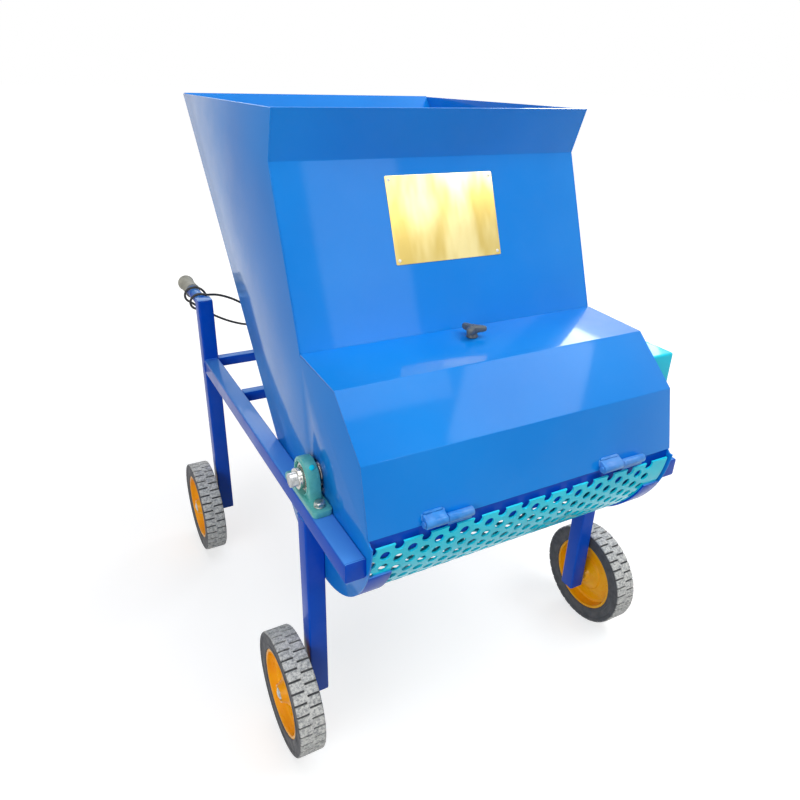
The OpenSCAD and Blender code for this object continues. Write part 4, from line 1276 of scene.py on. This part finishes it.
@dataclass
class Screen:
    """Half-round perforated screen, its holders and the bar above its front edge."""

    radius: float = 232.0
    thick: float = 4.0
    sides: tuple[float, float] = (-345.5, 340.0)
    start: float = 19.5
    row_pitch: float = 15.3
    hole_pitch: float = 53.0
    hole: float = 10.0
    first_row: float = 25.5
    rows: int = 42
    holes: tuple[int, int] = (13, 12)
    first_x: tuple[float, float] = (-347.0, -320.5)
    side_points: int = 4
    bar_half: float = 347.0
    bar_y: tuple[float, float] = (-596.0, -591.0)
    bar_z: tuple[float, float] = (612.0, 655.0)

    def flat_pattern(self) -> bmesh.types.BMesh:
        """The screen before it is rolled.

        It is laid with hexagons, one row pitch from the middle to a side, with a hole in each
        one that has its own, and cut straight at its four edges.
        """
        corners = np.radians(np.arange(6) * 60.0)
        reach = self.row_pitch / math.cos(math.radians(30))
        six = reach * np.column_stack([np.cos(corners), np.sin(corners)])
        share = (np.arange(self.side_points) / self.side_points)[:, None]
        outside = np.concatenate([six[k] + (six[(k + 1) % 6] - six[k]) * share for k in range(6)])
        angle = np.arctan2(outside[:, 1], outside[:, 0])
        inside = self.hole * np.column_stack([np.cos(angle), np.sin(angle)])
        count = len(outside)
        j = np.arange(count)
        cell_faces = np.column_stack([j, (j + 1) % count, count + (j + 1) % count, count + j])
        points, faces = [], []
        for k in range(-2, self.rows + 2):
            for i in range(-1, self.holes[0] + 1):
                mid = np.array([self.first_x[k % 2] + i * self.hole_pitch,
                                self.first_row + k * self.row_pitch])
                holed = 0 <= k < self.rows and 0 <= i < self.holes[k % 2]
                faces.append(cell_faces + 2 * count * len(faces))
                points += [mid + outside, mid + inside * holed]
        work = bmesh.new()
        mesh = bpy.data.meshes.new("flat_screen")
        flat = np.concatenate(points)
        level = np.column_stack([flat, np.zeros(len(flat))])
        mesh.from_pydata(level.tolist(), [], np.concatenate(faces).tolist())
        work.from_mesh(mesh)
        bpy.data.meshes.remove(mesh)
        bmesh.ops.remove_doubles(work, verts=work.verts, dist=0.02)
        bmesh.ops.dissolve_degenerate(work, edges=work.edges, dist=0.01)
        end = self.start + self.rows * self.row_pitch
        for spot, way in (((self.sides[1], 0, 0), (1, 0, 0)), ((self.sides[0], 0, 0), (-1, 0, 0)),
                          ((0, self.start, 0), (0, -1, 0)), ((0, end, 0), (0, 1, 0))):
            bmesh.ops.bisect_plane(work, geom=[*work.verts, *work.edges, *work.faces], dist=0.01,
                                   plane_co=spot, plane_no=way, clear_outer=True)
        return work

    def perforated(self, shop: Workshop) -> None:
        """Rolls the flat pattern: the arc length s goes to the angle s / radius down from the front."""
        work = self.flat_pattern()
        work.verts.index_update()
        flat = np.array([v.co for v in work.verts])
        faces = [[v.index for v in f.verts] for f in work.faces]
        rims = [[v.index for v in e.verts] for e in work.edges if len(e.link_faces) == 1]
        work.free()
        a = flat[:, 1] / self.radius
        outer, inner = (np.column_stack([flat[:, 0], ROTOR_Y - r * np.cos(a), ROTOR_Z - r * np.sin(a)])
                        for r in (self.radius, self.radius - self.thick))
        n = len(flat)
        every = [*faces, *([n + v for v in f[::-1]] for f in faces),
                 *([p, q, n + q, n + p] for p, q in rims)]
        blocks = [np.array([f for f in every if len(f) == c]) for c in sorted({len(f) for f in every})]
        sheet = Skin(np.concatenate([outer, inner]), blocks)
        shop.piece("perforated_screen", sheet, "screen_paint", Body.CHASSIS, ["screen"], sharp=38)

    def build(self, shop: Workshop) -> None:
        """Makes the screen, its holders and the front bar."""
        self.perforated(shop)
        shop.softened("screen_holders", "frame_paint", Body.CHASSIS, 0.5, "curved_holders")
        (y0, y1), (z0, z1) = self.bar_y, self.bar_z
        section = rounded([(y0, z0), (y1, z0), (y1, z1), (y0, z1)], 1.0)
        bar = prism(section, -self.bar_half, self.bar_half, 0.4)
        shop.piece("front_flat_bar", bar.along(Axis.X), "frame_paint", Body.CHASSIS, ["front_bar"])


@dataclass
class Chassis:
    """Square-tube rails, legs and posts with their welded caps, cross rails and motor plate.

    A bead on a tube stops a weld's inset short of its corners. The cross rails meet the side
    rails at cross_y, and the side plates are stitched to them along plate_stitches.
    """

    tube: float = 40.0
    wall: float = 3.0
    corner: float = 4.0
    rail_top: float = 618.0
    rail_front: float = -592.0
    post_front: float = 366.0
    leg_y: float = AXLE_Y[0]
    post_y: float = AXLE_Y[1]
    post_top: float = 788.0
    foot_z: float = 117.0
    weld_inset: float = 3.0
    cross_y: tuple[float, float] = (116.0, 366.0)
    plate_stitches: tuple = ((-560.0, -500.0), (-250.0, -190.0), (-60.0, 0.0))
    pipe_weld: tuple[float, float] = (16.8, 406.6)

    def section(self) -> np.ndarray:
        """The rounded square of the tube."""
        return rectangle(self.tube, self.tube, self.corner)

    def cap(self, low: float, high: float) -> Skin:
        """A flat welded cap with a soft ground edge."""
        return prism(rectangle(self.tube - 0.4, self.tube - 0.4, self.corner), low, high, 0.8)

    def bars(self, shop: Workshop) -> None:
        """Rails, legs, posts and caps."""
        mid_z = self.rail_top - self.tube / 2
        for side, name in ((-1, "left"), (1, "right")):
            rail = prism(self.section(), self.rail_front + self.wall, self.post_front, 0.2)
            rail = rail.along(Axis.Y).shifted(side * RAIL_X, 0, mid_z)
            shop.piece(f"{name}_side_rail", rail, "frame_paint", Body.CHASSIS, [f"{name}_rail"])
        legs, posts, caps = [], [], []
        for side in (-1, 1):
            x = side * RAIL_X
            leg = prism(self.section(), self.foot_z + self.wall, mid_z - self.tube / 2, 0.2)
            legs.append(leg.shifted(x, self.leg_y))
            post = prism(self.section(), self.foot_z + self.wall, self.post_top - self.wall, 0.2)
            posts.append(post.shifted(x, self.post_y))
            front = self.cap(self.rail_front, self.rail_front + self.wall)
            caps.append(front.along(Axis.Y).shifted(x, 0, mid_z))
            caps.append(self.cap(self.post_top - self.wall, self.post_top).shifted(x, self.post_y))
            for y in (self.leg_y, self.post_y):
                caps.append(self.cap(self.foot_z, self.foot_z + self.wall).shifted(x, y))
        shop.piece("front_leg_tubes", joined(legs), "frame_paint", Body.CHASSIS, ["front_legs"])
        shop.piece("rear_post_tubes", joined(posts), "frame_paint", Body.CHASSIS, ["rear_posts"])
        shop.piece("welded_tube_caps", joined(caps), "frame_paint", Body.CHASSIS, ["tube_caps"])

    def welds(self, shop: Workshop) -> None:
        """Beads at the legs, the posts, the cross rails and the handle pipes."""
        beads: list[Skin] = []

        def lay(start: Sequence[float], end: Sequence[float], radius: float, seed: int) -> None:
            """Lays one bead."""
            beads.append(weld_bead(start, end, radius, seed))

        h, top, under = self.tube / 2, self.rail_top, self.rail_top - self.tube
        reach = h - self.weld_inset
        around, ring_y = self.pipe_weld
        a = np.linspace(0.0, FULL_TURN, 61)
        ripple = 2.4 * (1 + 0.1 * np.sin(a * 29))
        for side in (-1, 1):
            x = side * RAIL_X
            for k, y in enumerate((self.leg_y - h, self.leg_y + h)):
                lay((x - reach, y, under), (x + reach, y, under), 2.6, 100 + k)
            for k, sx in enumerate((x - h, x + h)):
                lay((sx, self.leg_y - reach, under), (sx, self.leg_y + reach, under), 2.2, 110 + k)
                lay((sx, self.post_front, under + 4), (sx, self.post_front, top - 4), 2.2, 120 + k)
            for k, z in enumerate((under, top)):
                lay((x - reach, self.post_front, z), (x + reach, self.post_front, z), 2.6, 130 + k)
            inner = side * (RAIL_X - h)
            for k, y in enumerate(self.cross_y):
                lay((inner, y + 2, top - 3), (inner, y + 23, top - 3), 2.0, 140 + k)
                lay((inner, y, top - 22), (inner, y, top - 4), 2.0, 150 + k)
            ring = np.column_stack([x + around * np.cos(a), np.full(len(a), ring_y),
                                    HANDLE_Z + around * np.sin(a)])
            beads.append(tube(ring, ripple, 8))
            edge = side * 350.4
            for k, (y0, y1) in enumerate(self.plate_stitches):
                lay((edge, y0, under - 0.4), (edge, y1, under - 0.4), 1.8, 160 + k)
        shop.piece("frame_welds", joined(beads), "frame_paint", Body.CHASSIS)

    def build(self, shop: Workshop) -> None:
        """Makes the frame."""
        self.bars(shop)
        shop.softened("motor_rails", "frame_paint", Body.CHASSIS, 0.5, "cross_angles")
        shop.softened("motor_plate", "frame_paint", Body.CHASSIS, 0.8, "motor_seat_plate")
        self.welds(shop)


@dataclass
class Fasteners:
    """Hex bolts, nuts and washers on the machine, and the wheels' stub axles.

    A pair ending in _z is the height of a bolt's seat and of the underside that its nut meets.
    """

    bearing_y: tuple[float, float] = (-435.0, -315.0)
    bearing_z: tuple[float, float] = (631.0, 578.0)
    plate_x: tuple[float, float] = (165.0, 331.0)
    plate_y: tuple[float, float] = (130.5, 380.5)
    plate_z: tuple[float, float] = (626.0, 615.0)
    foot_x: tuple[float, float] = (178.0, 318.0)
    foot_y: tuple[float, float] = (173.0, 333.0)
    foot_z: tuple[float, float] = (640.0, 618.0)
    guard_y: tuple[float, float, float] = (-430.0, -30.0, 270.0)
    guard_z: float = 598.0

    def bolt(self, x: float, y: float, seat: float, under: float) -> Skin:
        """An M12 bolt from a seat down through to the underside, with washers and a nut."""
        radius, flats, thick = 6.0, 19.0, 2.5
        washer = soft_profile([(0, 6.4), (0, 11), (thick, 11), (thick, 6.4)], 0.5)
        low = under - 12.5
        parts = [lathe(washer + [seat, 0], 40, ring=True), hexagon_head(flats, seat + thick, seat + 10),
                 lathe([(seat + 9.9, 6.6), (seat + 10.15, 6.4), (seat + 10.15, 0.5)], 32),
                 lathe([(low - 0.5, radius), (seat + 3, radius)], 32),
                 threaded_end(radius, 0.0, 4.0).turned(UPSIDE_DOWN).shifted(0, 0, low),
                 lathe(washer + [under - thick, 0], 40, ring=True),
                 hexagon_head(flats, low, under - thick)]
        return joined(parts).shifted(x, y)

    def axle(self, side: int, y: float) -> Skin:
        """A stub axle along X from inside the leg, with a spacer, and a washer and nut in the hub."""
        spacer = soft_profile([(390, 8.2), (390, 13), (402, 13), (402, 8.2)], 0.8)
        washer = soft_profile([(447, 8.2), (447, 15), (449, 15), (449, 8.2)], 0.6)
        parts = [lathe([(353, 8), (458, 8)], 40), lathe(spacer, 40, ring=True),
                 lathe(washer, 40, ring=True), hexagon_head(24, 449, 459),
                 threaded_end(8.0, 457.5, 461.0, 2.0)]
        skin = joined(parts).along(Axis.X).shifted(0, y, AXLE_Z)
        return skin if side > 0 else skin.mirrored()

    def build(self, shop: Workshop) -> None:
        """Makes all the fasteners."""
        bolts = [self.bolt(x, y, *seats) for xs, ys, seats in (
            ((-RAIL_X, RAIL_X), self.bearing_y, self.bearing_z),
            (self.plate_x, self.plate_y, self.plate_z),
            (self.foot_x, self.foot_y, self.foot_z)) for x in xs for y in ys]
        for y in self.guard_y:
            small = [hexagon_head(13, 392, 397.5), lathe([(378, 4), (393, 4)], 24)]
            bolts.append(joined(small).along(Axis.X).shifted(0, y, self.guard_z))
        shop.piece("hex_bolt_set", joined(bolts), "zinc", Body.CHASSIS, ["hex_bolts"])
        axles = [self.axle(side, y) for side in (-1, 1) for y in AXLE_Y]
        shop.piece("stub_axle_set", joined(axles), "zinc", Body.CHASSIS, ["wheel_axles"])


@dataclass
class ShaftBearing:
    """Cast pillow block with its insert bearing."""

    side: int
    y: float = ROTOR_Y
    z: float = ROTOR_Z
    seat: float = 618.0
    dome: float = 41.0
    width: float = 24.0
    bore: float = 31.05
    nipple_lean: float = 38.0

    def on_side(self, skin: Skin) -> Skin:
        """The skin on its own side of the machine."""
        skin = skin.shifted(RAIL_X)
        return skin if self.side > 0 else skin.mirrored()

    def housing(self) -> Skin:
        """Foot with rounded ends, and a dome that swells about the insert's bore."""
        foot = prism(rectangle(39, 160, 9.0, 6), self.seat, self.seat + 13, 2.2).shifted(0, self.y)
        a = np.arange(96) * FULL_TURN / 96
        drop, across = np.maximum(-np.sin(a), 1e-6), np.maximum(np.abs(np.cos(a)), 1e-6)
        flare = np.minimum((self.z - self.seat - 3) / drop, (self.dome + 6 * drop) / across)
        reach = np.where(np.sin(a) < 0, flare, self.dome)
        outline = np.column_stack([reach * np.cos(a), reach * np.sin(a)])
        half = self.width / 2
        dome = prism(outline, -half, half, 3.0, bore=self.bore)
        lip = lathe(soft_profile([(half - 1, self.bore), (half + 1.6, 31.6), (half + 1.6, 34.5),
                                  (half - 1, 36)], 0.7), 64, ring=True)
        both = joined([dome, lip, lip.turned(UPSIDE_DOWN)])
        both = both.along(Axis.X).shifted(0, self.y, self.z)
        return self.on_side(joined([foot, both]))

    def nipple(self) -> Skin:
        """Grease nipple on the shoulder of the dome, under a bright cap."""
        profile = [(-1, 4.6), (0.4, 5.0), (3.4, 5.0), (4.4, 4.6), (5.0, 3.6), (5.2, 1.0)]
        a = math.radians(self.nipple_lean)
        tilt = np.array([[1, 0, 0], [0, math.cos(a), -math.sin(a)], [0, math.sin(a), math.cos(a)]])
        skin = lathe(profile, 24).shifted(0, 0, self.dome - 0.6).turned(tilt).shifted(0, self.y, self.z)
        return self.on_side(skin)

    def outer_ring(self) -> Skin:
        """Outer ring of the insert, with its pressed seal."""
        profile = soft_profile([(-10, 24), (-10, 28.5), (-8, 30.2), (0, 31), (8, 30.2), (10, 28.5),
                                (10, 24), (6, 23.2), (5, 21.1), (-5, 21.1), (-6, 23.2)], 0.6, steps=2)
        return self.on_side(lathe(profile, 64, ring=True).along(Axis.X).shifted(0, self.y, self.z))

    def inner_ring(self) -> Skin:
        """Inner ring that clamps the shaft."""
        ring = lathe(soft_profile([(-16, 15.02), (-16, 20.5), (22, 20.5), (22, 15.02)], 1.0), 64, ring=True)
        return self.on_side(ring.along(Axis.X).shifted(0, self.y, self.z))

    def set_screws(self) -> Skin:
        """Two socket screws in the inner ring, a third of a turn apart: a rim round a deep round hole."""
        screws = []
        for angle in (math.radians(62), math.radians(182)):
            cos, sin = math.cos(angle), math.sin(angle)
            head = lathe([(18.0, 2.4), (20.7, 2.4), (20.9, 2.1), (20.9, 1.4), (18.6, 1.3)], 24)
            tilt = np.array([[1, 0, 0], [0, cos, -sin], [0, sin, cos]])
            screws.append(head.turned(tilt).shifted(19.0, self.y, self.z))
        return self.on_side(joined(screws))

    def build(self, shop: Workshop) -> None:
        """Makes one bearing."""
        name = "right" if self.side > 0 else "left"
        shop.piece(f"{name}_pillow_block", self.housing(), "housing_paint", Body.CHASSIS,
                   [f"{name}_bearing_housing"], sharp=40)
        shop.piece(f"{name}_grease_nipple", self.nipple(), "guard_paint", Body.CHASSIS)


@dataclass
class BeltGuard:
    """Sheet cover over the belts, open towards the machine."""

    line: tuple = ((-482.0, 552.0), (-482.0, 813.0), (338.0, 813.0), (338.0, 636.0), (-252.0, 552.0))
    inner: float = 390.0
    outer: float = 450.0
    sheet: float = 1.5
    bend: float = 4.0
    tabs: tuple[float, float, float] = (-430.0, -30.0, 270.0)
    tab_half: float = 14.0
    tab_z: tuple[float, float] = (586.0, 610.0)

    def build(self, shop: Workshop) -> None:
        """Makes the cover as one shell.

        Its rings run from the open edge outwards, round the bend of radius r at the outer face
        (drawn in by r (1 - cos a) at r sin a), to the flat face, and back inside a sheet's
        thickness away.
        """
        outline = counterclockwise(rounded(self.line, 5.0, steps=5))
        normals = vertex_normals(outline, closed=True)
        a = np.radians(np.linspace(0, 90, 5))

        def rings(draw: float, face: float, radius: float) -> list[np.ndarray]:
            """One side of the sheet, from the open edge to the flat face."""
            rows = [(draw, self.inner)]
            rows += [(draw + radius * (1 - math.cos(t)), face - radius + radius * math.sin(t)) for t in a]
            return [np.column_stack([outline - d * normals, np.full(len(outline), x)]) for d, x in rows]

        outside = grid_skin(np.array(rings(0.0, self.outer, self.bend)))
        inside = grid_skin(np.array(rings(self.sheet, self.outer - self.sheet, self.bend - self.sheet)))
        count, rows = len(outline), len(a) + 1
        ring = np.arange(count)
        top = (rows - 1) * count
        shift = len(outside.points)
        rim = np.column_stack([ring, shift + ring, shift + (ring + 1) % count, (ring + 1) % count])
        faces = [*outside.faces, (top + ring)[None, :], *(block[:, ::-1] + shift for block in inside.faces),
                 (shift + top + ring)[::-1][None, :], rim]
        shell = Skin(np.concatenate([outside.points, inside.points]), faces).along(Axis.X)
        tabs = []
        (rear_y, rear_z), (bend_y, low_z) = self.line[3:]
        for y in self.tabs:
            floor = low_z if y < bend_y else low_z + (y - bend_y) * (rear_z - low_z) / (rear_y - bend_y)
            low, high = min(self.tab_z[0], floor + 0.5), max(self.tab_z[1], floor + 1)
            front, rear = y - self.tab_half, y + self.tab_half
            tab = rounded([(front, low), (rear, low), (rear, high), (front, high)], 4.0)
            tabs.append(prism(tab, self.inner, self.inner + 2, 0.3).along(Axis.X))
        shop.piece("belt_cover", joined([shell, *tabs]), "guard_paint", Body.CHASSIS, ["belt_guard"])


@dataclass
class Handle:
    """Level handle pipe with its moulded grip."""

    x: float
    z: float = HANDLE_Z
    radius: float = 16.0
    bore: float = 13.5
    start: float = 406.0
    pipe_end: float = 612.0
    grip_start: float = 520.0
    grip_end: float = 616.0

    def pipe(self) -> Skin:
        """The steel pipe."""
        profile = soft_profile([(self.start, self.bore), (self.start, self.radius),
                                (self.pipe_end, self.radius), (self.pipe_end, self.bore)], 0.8)
        return lathe(profile, 64, ring=True).along(Axis.Y).shifted(self.x, 0, self.z)

    def grip(self) -> Skin:
        """The grip: r = 20 with shallow finger rings, a collar in front and a flange at the end.

        Between the collars the radius is 19.2 + 0.8 |sin(pi s / 12)|, with s the way along.
        """
        s = np.linspace(self.grip_start + 6, self.grip_end - 13, 64)
        rings = 19.2 + 0.8 * np.abs(np.sin(math.pi * (s - self.grip_start - 6) / 12.0))
        head = [(self.grip_start, 16.1), (self.grip_start, 20.2), (self.grip_start + 1.5, 21.0),
                (self.grip_start + 3.5, 21.0), (self.grip_start + 5, 20.0)]
        tail = [(self.grip_end - 12, 20.2), (self.grip_end - 9, 22.2), (self.grip_end - 5.5, 23.0),
                (self.grip_end - 2.5, 22.6), (self.grip_end - 0.6, 20.6), (self.grip_end, 18.0),
                (self.grip_end, 6.0), (self.grip_end - 0.6, 5.0), (self.grip_end - 0.6, 0.5)]
        profile = [*head, *np.column_stack([s, rings]).tolist(), *tail]
        return lathe(profile, 56).along(Axis.Y).shifted(self.x, 0, self.z)


@dataclass
class Handles:
    """Both handles."""

    def build(self, shop: Workshop) -> None:
        """Makes the pipes and the grips."""
        pair = [Handle(x) for x in (-RAIL_X, RAIL_X)]
        shop.piece("handle_tubes", joined(h.pipe() for h in pair), "frame_paint", Body.CHASSIS,
                   ["handle_pipes"])
        shop.piece("moulded_grips", joined(h.grip() for h in pair), "grip_rubber", Body.CHASSIS,
                   ["handle_grips"])


@dataclass
class Wheel:
    """Solid rubber tyre with two staggered rows of blocks, on a dished orange rim."""

    name: str
    side: int
    y: float
    z: float = AXLE_Z
    inner_x: float = 402.0
    radius: float = 134.0
    width: float = 57.0
    blocks: int = 36
    slot: float = 4.0
    slot_floor: float = 129.0
    slot_reach: float = 26.5
    worn_from: float = 131.0
    worn_depth: float = 2.4

    def placed(self, skin: Skin) -> Skin:
        """The skin, drawn with its inner face at 0 along the third axis, at this wheel's place."""
        skin = skin.along(Axis.X).shifted(self.inner_x, self.y, self.z)
        return skin if self.side > 0 else skin.mirrored()

    def tyre(self) -> Skin:
        """The tyre.

        Columns lie at the edges of every slot. Inside a slot the radius is at most
        the slot floor's: r' = r - m max(0, r - floor), with m 1 in the slot and 0 outside it.
        """
        half, w = self.blocks * 2, self.width
        gap, flank = self.slot / 2, 0.35
        offsets = np.array([-gap - flank, -gap + flank, gap - flank, gap + flank, 5.8]) / self.radius
        inside = np.array([0.0, 1.0, 1.0, 0.0, 0.0])
        angle = (np.arange(half)[:, None] * FULL_TURN / half + offsets[None, :]).ravel()
        in_slot = np.tile(inside, half)
        row = np.repeat(np.arange(half) % 2, len(offsets))
        wall = [(3.0, 96.0), (1.2, 98.5), (0.6, 101), (0.6, 106), (1.8, 107.4), (1.8, 121.4),
                (0.7, 122.6), (0.0, 125.0), (0.0, 128.9), (0.1, 130.4), (0.7, 132.2), (1.8, 133.4),
                (3.4, 134.0)]
        tread = [(9.0, 134.2), (18.0, 134.35), (26.2, 134.4), (27.0, 134.4)]
        left = wall + tread
        right = [(w - a, r) for a, r in reversed(left)]
        line = np.array(left + [(w / 2, 134.4)] + right)
        line[:, 1] = np.minimum(line[:, 1], self.radius)
        place, r = line[:, 0], line[:, 1]
        first = (place < self.slot_reach)[:, None] & (row == 0)[None, :]
        second = (place > w - self.slot_reach)[:, None] & (row == 1)[None, :]
        mask = (first | second) * in_slot[None, :]
        reach = r[:, None] - mask * np.maximum(0.0, r[:, None] - self.slot_floor)
        points = np.stack([reach * np.cos(angle), reach * np.sin(angle),
                           np.repeat(place[:, None], len(angle), 1)], -1)
        return self.placed(grid_skin(points, wrap_rows=True))

    def rim(self) -> Skin:
        """The rim: a dish with a rolled edge, a step and rings round the hub, and a pocket for the nut."""
        h = self.width
        line = [(0.4, 8.1), (0.4, 17), (5, 20.5), (8.5, 24), (12, 34), (16.5, 44), (17.5, 46),
                (20.8, 48), (23, 58), (26, 70), (27, 79), (24.5, 85.5), (12, 88.2), (4.6, 89.2),
                (3.2, 90.4), (3.0, 93), (3.4, 96), (h - 3.4, 96), (h - 3.0, 93), (h - 3.2, 90.4),
                (h - 4.6, 89.2), (45, 88), (36, 85.6), (32.5, 79), (30.6, 70), (30, 58), (31.2, 48),
                (34.2, 46), (35.4, 44), (38.6, 34), (43.6, 25.5), (h - 7, 22), (h - 0.4, 19.6),
                (h - 0.4, 16), (h - 12.4, 16), (h - 12.4, 8.1)]
        return self.placed(lathe(soft_profile(line, 2.4, steps=3), 80, ring=True))

    def build(self, shop: Workshop) -> None:
        """Makes the wheel and marks where its tread is worn pale by the road."""
        body = f"wheel_{self.name}"
        tyre = shop.piece(f"{self.name}_rubber", self.tyre(), "tyre_rubber", body,
                          [f"tyre_{self.name}"], sharp=40)
        count = len(tyre.data.vertices)
        spots = np.empty(count * 3, np.float32)
        tyre.data.vertices.foreach_get("co", spots)
        spots = spots.reshape(-1, 3) * MM_PER_M
        r = np.hypot(spots[:, 1] - self.y, spots[:, 2] - self.z)
        worn = np.clip((r - self.worn_from) / self.worn_depth, 0.0, 1.0)
        layer = tyre.data.attributes.new("worn", "FLOAT", "POINT")
        layer.data.foreach_set("value", worn.astype(np.float32))
        shop.piece(f"{self.name}_disc", self.rim(), "rim_plastic", body, [f"rim_{self.name}"], sharp=40)


@dataclass
class Rotor:
    """Shaft, discs, pins and hammers, and the inner rings that turn with them."""

    def build(self, shop: Workshop) -> None:
        """Dresses the rotor."""
        for node, slot, edge, name in (("rotor_shaft", "shaft_steel", 1.2, "turned_shaft"),
                                       ("rotor_discs", "rotor_steel", 0.6, "flame_cut_discs"),
                                       ("hammer_pins", "shaft_steel", 0.8, "pin_rods"),
                                       ("rotor_pulley", "pulley_iron", 0.8, "driven_pulley")):
            shop.softened(node, slot, Body.ROTOR, edge, name)
        pair = [ShaftBearing(side) for side in (-1, 1)]
        shop.piece("insert_inner_rings", joined(b.inner_ring() for b in pair), "bearing_steel",
                   Body.ROTOR, ["bearing_inner_rings"])
        shop.piece("insert_set_screws", joined(b.set_screws() for b in pair), "hammer_steel", Body.ROTOR)
        shop.piece("insert_outer_rings", joined(b.outer_ring() for b in pair), "bearing_steel",
                   Body.CHASSIS, ["bearing_outer_rings"])
        for row in ("front_low", "rear_low", "rear_top", "front_top"):
            node = f"hammers_{row}"
            shop.softened(node, "hammer_steel", node, 0.7, f"swing_{node}")


@dataclass
class Motor:
    """Foot-mounted motor with its terminal box, gland, switch, fan and pulley."""

    y: float = 253.0
    z: float = 726.0
    end: float = 346.0
    gland_at: tuple[float, float] = (195.0, 837.0)

    def screws(self) -> Skin:
        """Hexagon screws round both end shields, and the four that hold the fan cover."""
        parts = []
        for x, way, r in ((self.end + 10, 1.0, 80.0), (self.end - 208, -1.0, 88.0)):
            head = hexagon_head(10, 0, 5).turned(np.diag([1.0, 1.0, way])).along(Axis.X)
            for k in range(4):
                a = math.radians(45 + 90 * k)
                parts.append(head.shifted(x, self.y + r * math.cos(a), self.z + r * math.sin(a)))
        return joined(parts)

    def gland(self) -> Skin:
        """Cable gland: thread, hexagon, domed nut with flutes, and a tapered relief with rings."""
        relief = [(18, 7.2), (19.5, 7.4)]
        for k in range(6):
            r = 7.2 - 0.42 * k
            s = 20 + 4 * k
            relief += [(s, r), (s + 2.2, r - 0.1), (s + 2.6, r - 0.9), (s + 3.6, r - 0.9)]
        relief += [(44.4, 4.3), (45.0, 3.9)]
        dome = lathe([(9, 8), (9.4, 10.4), (14, 10.8), (17, 10.0), (18.8, 8.2), (19.2, 5)], 60)
        angle = np.arctan2(dome.points[:, 1], dome.points[:, 0])
        r = np.hypot(dome.points[:, 0], dome.points[:, 1])
        keep = np.where(r > 9, 1 - 0.035 * (0.5 + 0.5 * np.cos(15 * angle)), 1.0)
        dome.points[:, :2] *= keep[:, None]
        parts = [lathe([(-2, 8), (3, 8)], 40), hexagon_head(22, 2, 10), dome, lathe(relief, 40)]
        to_left = np.array([[0, 0, -1], [0, 1, 0], [1, 0, 0]], float)
        x, z = self.gland_at
        return joined(parts).turned(to_left).shifted(x, self.y, z)

    def build(self, shop: Workshop) -> None:
        """Dresses the motor."""
        for node, slot, body, edge, name in (
                ("motor_body", "motor_paint", Body.CHASSIS, 0.7, "finned_motor_shell"),
                ("motor_end_shields", "motor_paint", Body.CHASSIS, 1.4, "cast_end_shields"),
                ("motor_fan_cover", "cover_paint", Body.CHASSIS, 0.6, "pressed_fan_cover"),
                ("terminal_box", "box_plastic", Body.CHASSIS, 1.2, "terminal_box_shell"),
                ("switch_knob", "switch_plastic", Body.SWITCH, 1.0, "rotary_switch"),
                ("motor_shaft", "shaft_steel", Body.MOTOR, 1.0, "motor_spindle"),
                ("motor_fan", "fan_plastic", Body.MOTOR, 0.3, "cooling_fan"),
                ("motor_pulley", "pulley_iron", Body.MOTOR, 0.8, "driving_pulley")):
            shop.softened(node, slot, body, edge, name)
        shop.softened("drive_belts", "belt_rubber", Body.CHASSIS, 0.5, "v_belts", sharp=40)
        shop.piece("motor_screws", self.screws(), "zinc", Body.CHASSIS)
        shop.piece("ribbed_cable_gland", self.gland(), "gland_plastic", Body.CHASSIS, ["cable_gland"])


def main() -> None:
    """Builds the machine from its parts, in the order that they are put together."""
    logging.basicConfig(level=logging.INFO, format="%(name)s: %(message)s")
    shop = Workshop()
    Studio().build()
    parts: list[Any] = [PowerCable(), Hopper(), Nameplate(), Hood(), Latch(), Screen(), Chassis(),
                        Fasteners(), ShaftBearing(-1), ShaftBearing(1), BeltGuard(), Handles()]
    parts += [Wheel(f"{end}_{name}", side, y) for end, y in zip(("front", "rear"), AXLE_Y)
              for name, side in (("left", -1), ("right", 1))]
    parts += [Rotor(), Motor()]
    for part in parts:
        part.build(shop)
        LOG.info("built %s", type(part).__name__)
    LOG.info("%d pieces", shop.made)


if __name__ == "__main__":
    main()
